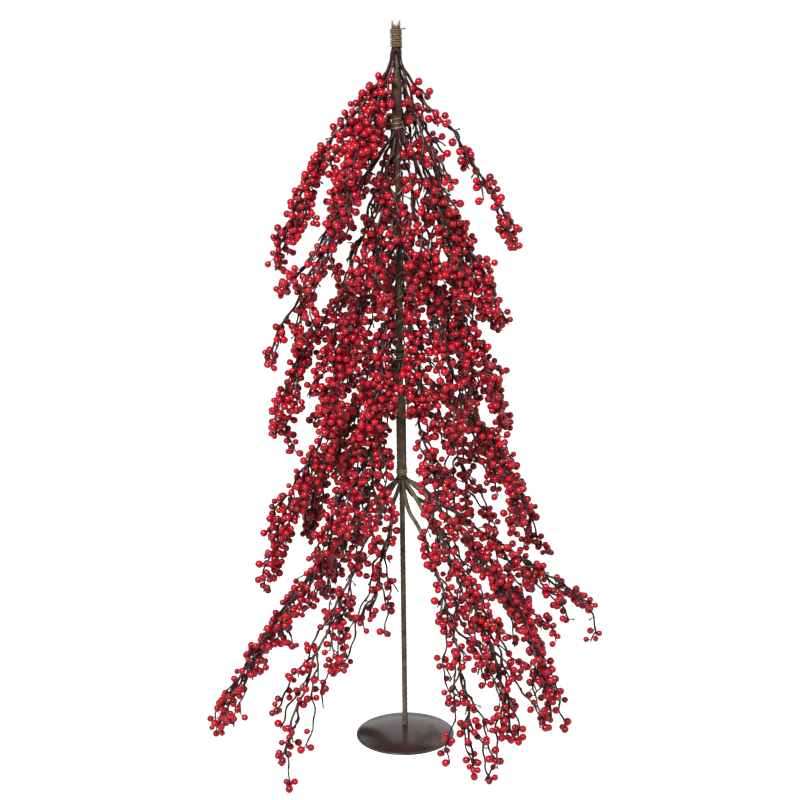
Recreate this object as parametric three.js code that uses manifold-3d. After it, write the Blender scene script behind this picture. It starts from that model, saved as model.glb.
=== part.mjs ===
// Weeping berry tree: five tiers of hanging berry sprays tied to a taped pole on a domed plate.
// Millimetres, +Z up. The origin is where the pole's axis meets the floor.
// +X is the tree's right and -Y its front. Azimuths turn from +X towards +Y, the back.
import * as THREE from "three";
import { mergeVertices } from "three/addons/utils/BufferGeometryUtils.js";
import Module from "manifold-3d";

const wasm = await Module();
wasm.setup();

// Clearances
const seatGap = 0.3;
const sprayGap = 1.6;
const floorGap = 7;

// Domed base plate, stamped from sheet
const plateRadius = 63.5;
const plateSheet = 2;
const rimWidth = 4;
const rimBevelWidth = 0.5;
const domeRise = 11.6;

// Pole: a steel rod with a shoulder above the plate and a threaded spigot below it
const rodRadius = 2.5;
const rodBevelWidth = 0.6;
const rodAboveTie = 4;
const shoulderRadius = 2.85;
const shoulderLength = 12;
const shoulderTaperLength = 3;
const spigotRadius = 2;
const spigotBevelWidth = 0.4;
const spigotProudLength = 1.8;

// Fasteners under the plate
const washerRadius = 6;
const washerThickness = 1;
const nutAcrossFlats = 7;
const nutHeight = 3.2;

// Florist's tape wound on the pole
const tapeThickness = 0.6;
const tapeBelowRodTop = 2;

// Windings: the crown's twine, the tie wires and the wire that runs down the pole
const twineRadius = 0.8;
const twinePitch = 2;
const wireRadius = 0.5;
const tiePitch = 3.6;
const tapedTiePitch = 6;
const tapedTieTurns = 3;
const spiralLoops = 7;
const spiralEndGap = 12;
const twineShape = { loopSteps: 16, sides: 5 };
const wireShape = { loopSteps: 12, sides: 4 };
const bendSteps = 3;

// Tape over the second and the lowest tie
const wrapThickness = 0.45;
const wrapTaperLength = 5;
const wrapBevelWidth = 0.4;

// Ties, from the floor up: the lowest tie's height and the rise from each tie to the next
const lowestTieHeight = 352;
const fourthTieRise = 153;
const thirdTieRise = 147;
const secondTieRise = 138;
const crownTieRise = 98;

// How much of each stem its tie holds, and how far the stems' cut ends stand above the tie
const lowestTieLength = 92;
const wiredTieLength = 12;
const secondTieLength = 50;
const crownTieLength = 21;
const lowestCutLength = 4;
const wiredCutLength = 8;
const secondCutLength = 3;
const crownCutLength = 9;
const leastTrimShare = 0.15;

// How far each tier reaches out from the pole, and how far it hangs below its tie
const lowestReach = 246;
const lowestTipHeight = 27;
const fourthReach = 189;
const fourthDrop = 277;
const thirdReach = 158;
const thirdDrop = 241;
const secondReach = 165;
const secondDrop = 282;
const crownReach = 150;
const crownDrop = 257;

// Each tier's bare wood before the berries begin, and its longest twigs
const lowestBareLength = 70;
const fourthBareLength = 28;
const thirdBareLength = 26;
const secondBareLength = 40;
const crownBareLength = 40;
const lowestTwigLength = 120;
const fourthTwigLength = 88;
const thirdTwigLength = 84;
const secondTwigLength = 82;
const crownTwigLength = 78;

// Berry sprays
const wireStemRadius = 1.6;
const tapedStemRadius = 2.6;
const stemClusterRadius = 11.5;
const tieStemRadius = 0.9;
const stemClearance = 0.3;
const twigRadius = 1.2;
const settleShare = 0.25;
const swayShare = 0.05;
const mostBends = 8;
const splayLength = 7;
const bareStep = 34;
const clusterStep = 27;
const tipLength = 5;
const leanShare = 0.66;
const tipRadiusShare = 0.45;
const stemSides = 5;
const twigSides = 4;
const twigSteps = 3;
const twigEvery = 68;
const mostTwigs = 3;
const twigFirstShare = 0.42;
const twigLastShare = 0.98;
const alongShare = 0.02;
const kneeShare = 0.45;
const droopShare = 0.45;
const shortShare = 0.7;
const twigClusterRadius = 9.5;
const twigSpread = THREE.MathUtils.degToRad(26);
const sideLean = THREE.MathUtils.degToRad(40);
const leastClusterRadius = 3;

// Heights of the ties
const fourthTieHeight = lowestTieHeight + fourthTieRise;
const thirdTieHeight = fourthTieHeight + thirdTieRise;
const secondTieHeight = thirdTieHeight + secondTieRise;
const crownTieHeight = secondTieHeight + crownTieRise;

// Each tier hangs from its tie. A spray's reach and drop are shares of its tier's sizes, and its arch
// says how soon the stem bends over: 1 is straight, 2 is a strong bow.
const tiers = [
  {
    name: "crown",
    tieBottom: crownTieHeight,
    tieLength: crownTieLength,
    cutLength: crownCutLength,
    reach: crownReach,
    drop: crownDrop,
    bareLength: crownBareLength,
    stemRadius: wireStemRadius,
    twigLength: crownTwigLength,
    sprays: [
      { azimuth: 16, reachShare: 0.42, dropShare: 0.92, arch: 1.2 },
      { azimuth: 56, reachShare: 0.5, dropShare: 0.8, arch: 1.2 },
      { azimuth: 101, reachShare: 0.58, dropShare: 0.9, arch: 1.2 },
      { azimuth: 145, reachShare: 0.6, dropShare: 0.78, arch: 1.2 },
      { azimuth: 185, reachShare: 1, dropShare: 1, arch: 1.25 },
      { azimuth: 226, reachShare: 0.68, dropShare: 0.68, arch: 1 },
      { azimuth: 302, reachShare: 0.4, dropShare: 0.56, arch: 1.3 },
      { azimuth: 346, reachShare: 0.92, dropShare: 0.84, arch: 1 },
    ],
  },
  {
    name: "second",
    tieBottom: secondTieHeight,
    tieLength: secondTieLength,
    taped: true,
    cutLength: secondCutLength,
    reach: secondReach,
    drop: secondDrop,
    bareLength: secondBareLength,
    stemRadius: wireStemRadius,
    twigLength: secondTwigLength,
    sprays: [
      { azimuth: 0, reachShare: 0.8, dropShare: 0.86, arch: 1.1 },
      { azimuth: 42, reachShare: 0.64, dropShare: 0.78, arch: 1.2 },
      { azimuth: 88, reachShare: 0.66, dropShare: 0.88, arch: 1.3 },
      { azimuth: 131, reachShare: 0.64, dropShare: 0.82, arch: 1.2 },
      { azimuth: 189, reachShare: 1, dropShare: 1, arch: 1.05 },
      { azimuth: 213, reachShare: 0.96, dropShare: 0.62, arch: 1 },
      { azimuth: 245, reachShare: 0.42, dropShare: 0.62, arch: 1.2 },
      { azimuth: 300, reachShare: 0.38, dropShare: 0.7, arch: 1.2 },
      { azimuth: 333, reachShare: 0.6, dropShare: 0.74, arch: 1.2 },
    ],
  },
  {
    name: "third",
    tieBottom: thirdTieHeight,
    tieLength: wiredTieLength,
    cutLength: wiredCutLength,
    reach: thirdReach,
    drop: thirdDrop,
    bareLength: thirdBareLength,
    stemRadius: wireStemRadius,
    twigLength: thirdTwigLength,
    sprays: [
      { azimuth: 9, reachShare: 0.74, dropShare: 0.8, arch: 1.9 },
      { azimuth: 52, reachShare: 0.74, dropShare: 0.9, arch: 1.7 },
      { azimuth: 99, reachShare: 0.78, dropShare: 0.86, arch: 1.6 },
      { azimuth: 141, reachShare: 0.7, dropShare: 0.96, arch: 1.7 },
      { azimuth: 181, reachShare: 1, dropShare: 1, arch: 2.2 },
      { azimuth: 213, reachShare: 0.66, dropShare: 0.86, arch: 1.8 },
      { azimuth: 243, reachShare: 0.46, dropShare: 0.92, arch: 1.4 },
      { azimuth: 294, reachShare: 0.42, dropShare: 0.84, arch: 1.3 },
      { azimuth: 327, reachShare: 0.56, dropShare: 0.94, arch: 1.7 },
    ],
  },
  {
    name: "fourth",
    tieBottom: fourthTieHeight,
    tieLength: wiredTieLength,
    cutLength: wiredCutLength,
    reach: fourthReach,
    drop: fourthDrop,
    bareLength: fourthBareLength,
    stemRadius: wireStemRadius,
    twigLength: fourthTwigLength,
    sprays: [
      { azimuth: 18, reachShare: 0.9, dropShare: 1, arch: 1.45 },
      { azimuth: 61, reachShare: 0.72, dropShare: 0.88, arch: 1.7 },
      { azimuth: 106, reachShare: 0.72, dropShare: 0.8, arch: 1.6 },
      { azimuth: 150, reachShare: 0.66, dropShare: 0.92, arch: 1.7 },
      { azimuth: 185, reachShare: 0.82, dropShare: 0.95, arch: 2 },
      { azimuth: 208, reachShare: 0.56, dropShare: 0.86, arch: 1.7 },
      { azimuth: 238, reachShare: 0.44, dropShare: 0.8, arch: 1.5 },
      { azimuth: 306, reachShare: 0.46, dropShare: 0.74, arch: 1.5 },
      { azimuth: 351, reachShare: 0.84, dropShare: 0.6, arch: 1.9 },
    ],
  },
  {
    name: "lowest",
    tieBottom: lowestTieHeight,
    tieLength: lowestTieLength,
    taped: true,
    cutLength: lowestCutLength,
    reach: lowestReach,
    drop: lowestTieHeight - lowestTipHeight,
    bareLength: lowestBareLength,
    stemRadius: tapedStemRadius,
    twigLength: lowestTwigLength,
    sprays: [
      { azimuth: 30, reachShare: 0.84, dropShare: 0.9, arch: 1.5 },
      { azimuth: 60, reachShare: 0.76, dropShare: 0.74, arch: 1.6 },
      { azimuth: 126, reachShare: 0.74, dropShare: 0.66, arch: 1.5 },
      { azimuth: 154, reachShare: 0.9, dropShare: 0.94, arch: 1.4 },
      { azimuth: 190, reachShare: 0.99, dropShare: 1, arch: 1.45 },
      { azimuth: 221, reachShare: 0.92, dropShare: 0.98, arch: 1.05 },
      { azimuth: 248, reachShare: 0.36, dropShare: 0.5, arch: 1.3 },
      { azimuth: 291, reachShare: 0.8, dropShare: 0.98, arch: 1.9 },
      { azimuth: 313, reachShare: 0.8, dropShare: 0.97, arch: 2 },
      { azimuth: 337, reachShare: 0.92, dropShare: 0.94, arch: 1.5 },
      { azimuth: 357, reachShare: 0.98, dropShare: 0.6, arch: 1 },
    ],
  },
];

// Places that follow from the sizes above
const fullTurn = 2 * Math.PI;
const goldenAngle = Math.PI * (3 - Math.sqrt(5));
const goldenShare = (Math.sqrt(5) - 1) / 2;
const upAxis = new THREE.Vector3(0, 0, 1);
const rimInner = plateRadius - rimWidth;
const domeRadius = (rimInner ** 2 + domeRise ** 2) / (2 * domeRise);
const plateTop = plateSheet + domeRise;
const spigotHole = spigotRadius + seatGap;
const shoulderBottom = plateTop + seatGap;
const crownTieTop = crownTieHeight + crownTieLength;
const rodTop = crownTieTop + rodAboveTie;
const tapeInner = rodRadius + seatGap;
const tapeOuter = tapeInner + tapeThickness;
const tapeTop = rodTop - tapeBelowRodTop;
const washerTop = domeHeight(washerRadius) - plateSheet - seatGap;
const washerBottom = washerTop - washerThickness;
const nutTop = washerBottom - seatGap;
const nutBottom = nutTop - nutHeight;
const spigotBottom = nutBottom - spigotProudLength;

// Height of the plate's upper face at a radius: a cap of a sphere above the flat rim
function domeHeight(radius) {
  return plateTop - domeRadius + Math.sqrt(domeRadius ** 2 - radius ** 2);
}

// Even, repeatable scatter between 0 and 1
function scatter(count) {
  return (count * goldenShare) % 1;
}

function smoothStep(share) {
  const held = THREE.MathUtils.clamp(share, 0, 1);
  return held * held * (3 - 2 * held);
}

function around(angle) {
  return new THREE.Vector3(Math.cos(angle), Math.sin(angle), 0);
}

// A profile of radius and height, turned about Z
function revolved(profile, segments) {
  const points = profile.map(([radius, height]) => new THREE.Vector2(radius, height));
  return new THREE.LatheGeometry(points, segments).rotateX(Math.PI / 2);
}

// A closed skin through rings of points, with a fan at each end
function skinOf(rings, startPoint, endPoint) {
  const sides = rings[0].length;
  const corners = [...rings.flat(), startPoint, endPoint];
  const startCorner = corners.length - 2;
  const endCorner = corners.length - 1;
  const faces = [];
  rings.slice(1).forEach((ring, row) => {
    const near = row * sides;
    const far = near + sides;
    for (let side = 0; side < sides; side++) {
      const next = (side + 1) % sides;
      faces.push(near + side, near + next, far + next);
      faces.push(near + side, far + next, far + side);
    }
  });
  const last = (rings.length - 1) * sides;
  for (let side = 0; side < sides; side++) {
    const next = (side + 1) % sides;
    faces.push(startCorner, next, side);
    faces.push(endCorner, last + side, last + next);
  }
  const places = corners.flatMap((corner) => corner.toArray());
  const skin = new THREE.BufferGeometry();
  skin.setAttribute("position", new THREE.Float32BufferAttribute(places, 3));
  skin.setIndex(faces);
  return skin;
}

// A tube of changing radius along points; each ring's first corner is carried on from the last ring
function tube(points, radii, sides) {
  let across = new THREE.Vector3();
  const rings = points.map((point, index) => {
    const before = points[Math.max(index - 1, 0)];
    const after = points[Math.min(index + 1, points.length - 1)];
    const along = after.clone().sub(before).normalize();
    if (index === 0) across = Math.abs(along.z) < 0.9 ? upAxis.clone() : new THREE.Vector3(1, 0, 0);
    across.addScaledVector(along, -across.dot(along)).normalize();
    const third = along.clone().cross(across);
    return Array.from({ length: sides }, (unused, side) => {
      const angle = (side * fullTurn) / sides;
      const outward = across.clone().multiplyScalar(Math.cos(angle));
      outward.addScaledVector(third, Math.sin(angle));
      return point.clone().addScaledVector(outward, radii[index]);
    });
  });
  return skinOf(rings, points[0].clone(), points.at(-1).clone());
}

// Solids for joining
function solidOf(geometry) {
  const bare = geometry.clone();
  bare.deleteAttribute("normal");
  bare.deleteAttribute("uv");
  const merged = mergeVertices(bare);
  const vertProperties = new Float32Array(merged.attributes.position.array);
  const triVerts = new Uint32Array(merged.index.array);
  return new wasm.Manifold(new wasm.Mesh({ numProp: 3, vertProperties, triVerts }));
}

function geometryOf(solid) {
  const { vertProperties, triVerts } = solid.getMesh();
  const geometry = new THREE.BufferGeometry();
  geometry.setAttribute("position", new THREE.BufferAttribute(vertProperties, 3));
  geometry.setIndex(new THREE.BufferAttribute(triVerts, 1));
  geometry.computeVertexNormals();
  return geometry;
}

// Materials
function finish(color, roughness, metalness) {
  return new THREE.MeshStandardMaterial({ color, roughness, metalness });
}
const brownPaint = finish(0x3d2c2a, 0.25, 0.3);
const bareSteel = finish(0x9a9a98, 0.4, 1);
const oliveTape = finish(0x5c5240, 0.8, 0);
const jute = finish(0xa88a5e, 0.9, 0);
const brassWire = finish(0xb59a5a, 0.35, 1);
const redBerry = finish(0xb5162a, 0.22, 0);

// Base plate, with a flat ring at the rim that rests on the floor
function basePlate() {
  const domeSteps = 3;
  const upper = [];
  for (let step = 0; step <= domeSteps; step++) {
    const radius = THREE.MathUtils.lerp(rimInner, spigotHole, step / domeSteps);
    upper.push([radius, domeHeight(radius)]);
  }
  const lower = upper.map(([radius, height]) => [radius, height - plateSheet]).reverse();
  const rim = [
    [plateRadius - rimBevelWidth, 0],
    [plateRadius, rimBevelWidth],
    [plateRadius, plateSheet - rimBevelWidth],
    [plateRadius - rimBevelWidth, plateSheet],
  ];
  return revolved([...rim, ...upper, ...lower, rim[0]], 40);
}

function poleRod() {
  const shoulderTop = shoulderBottom + shoulderLength;
  return revolved(
    [
      [0, spigotBottom],
      [spigotRadius - spigotBevelWidth, spigotBottom],
      [spigotRadius, spigotBottom + spigotBevelWidth],
      [spigotRadius, shoulderBottom],
      [shoulderRadius, shoulderBottom],
      [shoulderRadius, shoulderTop],
      [rodRadius, shoulderTop + shoulderTaperLength],
      [rodRadius, rodTop - rodBevelWidth],
      [rodRadius - rodBevelWidth, rodTop],
      [0, rodTop],
    ],
    16,
  );
}

// The tape follows the rod, and the shoulder under it makes the pole's flared foot
function poleTape() {
  const foot = shoulderBottom;
  const flareTop = shoulderBottom + shoulderLength;
  const coneTop = flareTop + shoulderTaperLength;
  const footInner = shoulderRadius + seatGap;
  return revolved(
    [
      [footInner, foot],
      [footInner + tapeThickness, foot],
      [footInner + tapeThickness, flareTop],
      [tapeOuter, coneTop],
      [tapeOuter, tapeTop],
      [tapeInner, tapeTop],
      [tapeInner, coneTop],
      [footInner, flareTop],
      [footInner, foot],
    ],
    16,
  );
}

function baseWasher() {
  return revolved(
    [
      [spigotHole, washerBottom],
      [washerRadius, washerBottom],
      [washerRadius, washerTop],
      [spigotHole, washerTop],
      [spigotHole, washerBottom],
    ],
    16,
  );
}

function baseNut() {
  const flats = 6;
  const cornerRadius = nutAcrossFlats / 2 / Math.cos(Math.PI / flats);
  const outline = new THREE.Shape();
  for (let corner = 0; corner < flats; corner++) {
    const angle = (corner * fullTurn) / flats;
    const x = cornerRadius * Math.cos(angle);
    const y = cornerRadius * Math.sin(angle);
    if (corner === 0) outline.moveTo(x, y);
    else outline.lineTo(x, y);
  }
  outline.closePath();
  outline.holes.push(new THREE.Path().absarc(0, 0, spigotHole, 0, fullTurn, true));
  const options = { depth: nutHeight, bevelEnabled: false, curveSegments: 12 };
  return new THREE.ExtrudeGeometry(outline, options).translate(0, 0, nutBottom);
}

// A winding round the pole's axis. Both ends turn outward and run straight for one tube diameter.
function windingPoints({ radius, pitch, loops, bottom, turn, tubeRadius, loopSteps }) {
  const steps = loops * loopSteps;
  const helixPoint = (step) => {
    const angle = turn + (step * fullTurn) / loopSteps;
    return around(angle).multiplyScalar(radius).setZ(bottom + (pitch * step) / loopSteps);
  };
  const bendRadius = 2 * tubeRadius;
  const leadOut = (step, way) => {
    const start = helixPoint(step);
    const outward = around(turn + (step * fullTurn) / loopSteps);
    const onward = new THREE.Vector3(-outward.y * way, outward.x * way, 0);
    const centre = start.clone().addScaledVector(outward, bendRadius);
    const lead = [];
    for (let bend = 1; bend <= bendSteps; bend++) {
      const angle = ((bend / bendSteps) * Math.PI) / 2;
      const point = centre.clone().addScaledVector(outward, -bendRadius * Math.cos(angle));
      lead.push(point.addScaledVector(onward, bendRadius * Math.sin(angle)));
    }
    lead.push(lead.at(-1).clone().addScaledVector(outward, 2 * tubeRadius));
    return lead;
  };
  const points = leadOut(0, -1).reverse();
  for (let step = 0; step <= steps; step++) points.push(helixPoint(step));
  return [...points, ...leadOut(steps, 1)];
}

// Least air between two stretches of a winding that are more than a few diameters apart along it
function leastGap(points, tubeRadius) {
  const reach = [0];
  points.slice(1).forEach((point, index) => {
    reach.push(reach[index] + point.distanceTo(points[index]));
  });
  const apart = 8 * tubeRadius;
  let least = Infinity;
  points.forEach((point, first) => {
    for (let second = first + 1; second < points.length; second++) {
      if (reach[second] - reach[first] < apart) continue;
      least = Math.min(least, point.distanceTo(points[second]) - 2 * tubeRadius);
    }
  });
  return least;
}

function winding(name, options) {
  const points = windingPoints(options);
  console.log(`${name}: least gap to itself ${leastGap(points, options.tubeRadius).toFixed(2)} mm`);
  return tube(points, points.map(() => options.tubeRadius), options.sides);
}

// The radius of the ring of stems round the pole: they lie against its tape, or side by side
function ringRadius(tier) {
  const againstTape = tapeOuter + seatGap + tieStemRadius;
  const sideBySide = (tieStemRadius + stemClearance / 2) / Math.sin(Math.PI / tier.sprays.length);
  return Math.max(againstTape, sideBySide);
}

// A winding's radius over something round, so that its flats still clear it
function radiusOver(core, tubeRadius, shape) {
  return (core + seatGap + tubeRadius) / Math.cos(Math.PI / shape.loopSteps);
}

// As many whole turns as a tie's length holds
function turnsIn(tier, tubeRadius, pitch) {
  return Math.floor((tier.tieLength - 2 * tubeRadius) / pitch);
}

function crownTwine() {
  const crown = tiers[0];
  const core = ringRadius(crown) + tieStemRadius;
  return winding("crown_twine", {
    radius: radiusOver(core, twineRadius, twineShape),
    pitch: twinePitch,
    loops: turnsIn(crown, twineRadius, twinePitch),
    bottom: twineRadius,
    turn: -Math.PI / 5,
    tubeRadius: twineRadius,
    ...twineShape,
  });
}

// The wire holds the stems themselves, or is wound over their tape in fewer, wider turns
function tieWire(tier) {
  const core = tier.taped ? wrapOuter(tier) : ringRadius(tier) + tieStemRadius;
  return winding(`${tier.name}_tie_wire`, {
    radius: radiusOver(core, wireRadius, wireShape),
    pitch: tier.taped ? tapedTiePitch : tiePitch,
    loops: tier.taped ? tapedTieTurns : turnsIn(tier, wireRadius, tiePitch),
    bottom: (tier.taped ? wrapBevelWidth : 0) + wireRadius,
    turn: goldenAngle * tiers.indexOf(tier),
    tubeRadius: wireRadius,
    ...wireShape,
  });
}

// The wire that runs down the bare pole from the third tie to the fourth
function poleSpiralWire() {
  const [, , third, fourth] = tiers;
  const top = third.tieBottom - spiralEndGap;
  const bottom = fourth.tieBottom + fourth.tieLength + fourth.cutLength + spiralEndGap;
  return winding("pole_spiral_wire", {
    radius: radiusOver(tapeOuter, wireRadius, wireShape),
    pitch: (top - bottom) / spiralLoops,
    loops: spiralLoops,
    bottom,
    turn: Math.PI,
    tubeRadius: wireRadius,
    ...wireShape,
  });
}

// The cut ends stand highest at the tree's right and left, and lower at its front and back
function tailTop(tier, angle) {
  const trimShare = THREE.MathUtils.lerp(leastTrimShare, 1, Math.abs(Math.cos(angle)));
  return tier.tieBottom + tier.tieLength + tier.cutLength * trimShare;
}

function wrapInner(tier) {
  return ringRadius(tier) + tieStemRadius + seatGap;
}

function wrapOuter(tier) {
  return wrapInner(tier) + wrapThickness;
}

// Tape wound over a tier's stems and drawn in onto the pole above their cut ends
function tieTape(tier) {
  const inner = wrapInner(tier);
  const outer = wrapOuter(tier);
  const shoulder = tier.tieLength + tier.cutLength + seatGap;
  const neckInner = tapeOuter + seatGap;
  const neckTop = shoulder + wrapTaperLength;
  return revolved(
    [
      [inner, 0],
      [outer - wrapBevelWidth, 0],
      [outer, wrapBevelWidth],
      [outer, shoulder],
      [neckInner + wrapThickness, neckTop],
      [neckInner, neckTop],
      [neckInner, neckTop - wrapThickness],
      [inner, shoulder],
      [inner, 0],
    ],
    20,
  );
}

// Where a stem's centre line lies, from 0 at the tie to 1 at the tip. It leaves the tie outward and
// hangs ever more steeply: radius = ring + (reach - ring) (1 - (1 - share)^arch), with a slow sway.
function stemPoint(spray, share) {
  const { tier } = spray;
  const ring = ringRadius(tier);
  const reach = tier.reach * spray.reachShare;
  const angle = THREE.MathUtils.lerp(spray.slot, spray.heading, smoothStep(share / settleShare));
  const radius = ring + (reach - ring) * (1 - (1 - share) ** spray.arch);
  const sway = reach * swayShare * spray.lean * Math.sin(Math.PI * share);
  const point = around(angle).multiplyScalar(radius);
  point.addScaledVector(around(angle + Math.PI / 2), sway);
  return point.setZ(tier.tieBottom - tier.drop * spray.dropShare * share);
}

// Stems stand evenly round the tie, in the order of their headings
function setSlots(tier, tierIndex) {
  const slotStep = fullTurn / tier.sprays.length;
  const headings = tier.sprays.map((spray) => THREE.MathUtils.degToRad(spray.azimuth));
  const lags = headings.map((heading, index) => heading - index * slotStep);
  const firstSlot = lags.reduce((sum, lag) => sum + lag, 0) / lags.length;
  tier.sprays.forEach((spray, index) => {
    spray.tier = tier;
    spray.heading = headings[index];
    spray.slot = firstSlot + index * slotStep;
    spray.serial = index + tierIndex * tier.sprays.length;
    spray.lean = Math.sin(goldenAngle * spray.serial);
    spray.length = Math.hypot(tier.reach * spray.reachShare, tier.drop * spray.dropShare);
    spray.twigCount = Math.min(Math.round(spray.length / twigEvery), mostTwigs);
    spray.name = `${tier.name}_berry_spray_${index + 1}`;
  });
}

// Least distance between two straight stretches, a to b and c to d
function distanceBetween(a, b, c, d) {
  const first = b.clone().sub(a);
  const second = d.clone().sub(c);
  const offset = a.clone().sub(c);
  const firstSquare = first.lengthSq();
  const secondSquare = second.lengthSq();
  const both = first.dot(second);
  const firstOffset = first.dot(offset);
  const secondOffset = second.dot(offset);
  const spread = firstSquare * secondSquare - both * both;
  let onFirst = 0;
  if (spread > 0) onFirst = (both * secondOffset - firstOffset * secondSquare) / spread;
  onFirst = THREE.MathUtils.clamp(onFirst, 0, 1);
  const onSecond = THREE.MathUtils.clamp((both * onFirst + secondOffset) / secondSquare, 0, 1);
  onFirst = THREE.MathUtils.clamp((both * onSecond - firstOffset) / firstSquare, 0, 1);
  return first.multiplyScalar(onFirst).add(a).distanceTo(second.multiplyScalar(onSecond).add(c));
}

// Stretches already placed: each is a straight core with a radius round it.
// A stem's stretches start as bare wood and may swell with berries.
const placed = [];

function place(points, radii, owner, swells) {
  const stretches = points.slice(1).map((point, index) => {
    const radius = Math.max(radii[index], radii[index + 1]);
    return { from: points[index], to: point, radius, owner, swells };
  });
  placed.push(...stretches);
  return stretches;
}

// The radius that a stretch may have beside everything that isn't its own spray.
// Two stems that both swell share the room between them.
function roomFor(from, to, owner, swells) {
  let room = Math.min(from.z, to.z) - floorGap;
  placed.forEach((stretch) => {
    if (stretch.owner === owner) return;
    const free = distanceBetween(from, to, stretch.from, stretch.to) - sprayGap;
    room = Math.min(room, swells && stretch.swells ? free / 2 : free - stretch.radius);
  });
  return room;
}

// A stem's rings: its cut end, the tie, the bare stretch, and then one for each cluster of berries
function stemRings(spray) {
  const { tier, length } = spray;
  const foot = stemPoint(spray, 0);
  const points = [foot.clone().setZ(tailTop(tier, spray.slot)), foot];
  const radii = [tieStemRadius, tieStemRadius];
  const addRing = (share, radius) => {
    points.push(stemPoint(spray, share));
    radii.push(radius);
  };
  const bareShare = tier.bareLength / length;
  const tipShare = 1 - tipLength / length;
  addRing(splayLength / length, tieStemRadius);
  const bareRings = Math.round(tier.bareLength / bareStep);
  for (let ring = 1; ring <= bareRings; ring++) {
    addRing((bareShare * ring) / bareRings, tier.stemRadius);
  }
  const bareCount = points.length;
  const clusters = Math.round((length - tier.bareLength) / clusterStep);
  for (let cluster = 1; cluster <= clusters; cluster++) {
    const plumpShare = leanShare + (1 - leanShare) * scatter(cluster + spray.serial);
    const share = THREE.MathUtils.lerp(bareShare, tipShare, cluster / clusters);
    addRing(share, stemClusterRadius * plumpShare);
  }
  addRing(1, stemClusterRadius * tipRadiusShare);
  return { points, radii, bareCount };
}

// True if a stem's wood, from where it leaves the tie, runs clear of all that is placed
function runsClear({ points, radii, bareCount }, owner) {
  const loose = points.slice(2);
  return loose.slice(1).every((point, index) => {
    const wood = index + 2 < bareCount ? radii[index + 2] : twigRadius;
    return roomFor(loose[index], point, owner, false) + sprayGap - stemClearance >= wood;
  });
}

// A stem that would touch another is bent further to one side and the other in turn
function layStem(spray) {
  const firstLean = spray.lean;
  let stem = stemRings(spray);
  for (let bend = 1; bend <= mostBends && !runsClear(stem, spray.name); bend++) {
    spray.lean = firstLean + (bend % 2 ? 1 : -1) * Math.ceil(bend / 2);
    stem = stemRings(spray);
    console.log(`${spray.name} bent aside to ${spray.lean.toFixed(2)}`);
  }
  const { points, radii, bareCount } = stem;
  place(points.slice(0, bareCount), radii.slice(0, bareCount), spray.name, false);
  const wood = radii.slice(bareCount - 1).map(() => twigRadius);
  const stretches = place(points.slice(bareCount - 1), wood, spray.name, true);
  spray.stem = { ...stem, stretches };
}

// The berries of a stem take the room that the other sprays leave
function fillStem(spray) {
  const { points, radii, bareCount, stretches } = spray.stem;
  const rooms = stretches.map(({ from, to, owner }) => roomFor(from, to, owner, true));
  for (let ring = bareCount; ring < radii.length; ring++) {
    const behind = rooms[ring - bareCount];
    const ahead = rooms[ring - bareCount + 1] ?? behind;
    radii[ring] = THREE.MathUtils.clamp(Math.min(behind, ahead), twigRadius, radii[ring]);
  }
  spray.solid = solidOf(tube(points, radii, stemSides));
}

// A stem's stretches are as thick as its berries once all stems are filled
function settleStem(spray) {
  const { radii, bareCount, stretches } = spray.stem;
  stretches.forEach((stretch, index) => {
    const ring = index + bareCount;
    stretch.radius = Math.max(radii[ring - 1], radii[ring]);
    stretch.swells = false;
  });
}

// A twig's centre line: it leaves the stem sideways, right and left in turn, and droops.
// Its tip stands no further out than its tier reaches.
function twigLine(spray, index) {
  const { tier } = spray;
  const share = THREE.MathUtils.lerp(twigFirstShare, twigLastShare, index / spray.twigCount);
  const start = stemPoint(spray, share);
  const along = stemPoint(spray, share + alongShare).sub(start).normalize();
  const side = (index + spray.serial) % 2 ? 1 : -1;
  const lift = sideLean * (2 * scatter(spray.serial + 3 * index) - 1);
  const sideways = around(spray.heading + (side * Math.PI) / 2).applyAxisAngle(along, lift);
  const leave = along.multiplyScalar(Math.cos(twigSpread));
  leave.addScaledVector(sideways, Math.sin(twigSpread));
  const hang = leave.clone().lerp(upAxis.clone().negate(), droopShare).normalize();
  const lengthShare = shortShare + (1 - shortShare) * scatter(spray.serial + 2 * index);
  const knee = start.clone().addScaledVector(leave, tier.twigLength * lengthShare * kneeShare);
  const tip = knee.clone().addScaledVector(hang, tier.twigLength * lengthShare * (1 - kneeShare));
  const held = Math.min(1, tier.reach / Math.hypot(tip.x, tip.y));
  tip.multiply(new THREE.Vector3(held, held, 1));
  return new THREE.QuadraticBezierCurve3(start, knee, tip);
}

// A twig with its berries. It ends where another spray or the floor leaves it no room.
function addTwig(spray, index) {
  const points = twigLine(spray, index).getPoints(twigSteps);
  const rooms = points.slice(1).map((point, step) => roomFor(points[step], point, spray.name, false));
  const blocked = rooms.findIndex((room) => room < leastClusterRadius);
  const steps = blocked < 0 ? rooms.length : blocked;
  if (steps < 2) return;
  const kept = points.slice(0, steps + 1);
  const radii = kept.map((point, ring) => {
    const room = Math.min(rooms[Math.max(ring - 1, 0)], rooms[Math.min(ring, steps - 1)]);
    const plumpShare = leanShare + (1 - leanShare) * scatter(ring + 2 * spray.serial + index);
    const endShare = ring === 0 || ring === steps ? tipRadiusShare : plumpShare;
    return Math.min(room, twigClusterRadius * endShare);
  });
  spray.solid = spray.solid.add(solidOf(tube(kept, radii, twigSides)));
  place(kept, radii, spray.name, false);
}

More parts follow.
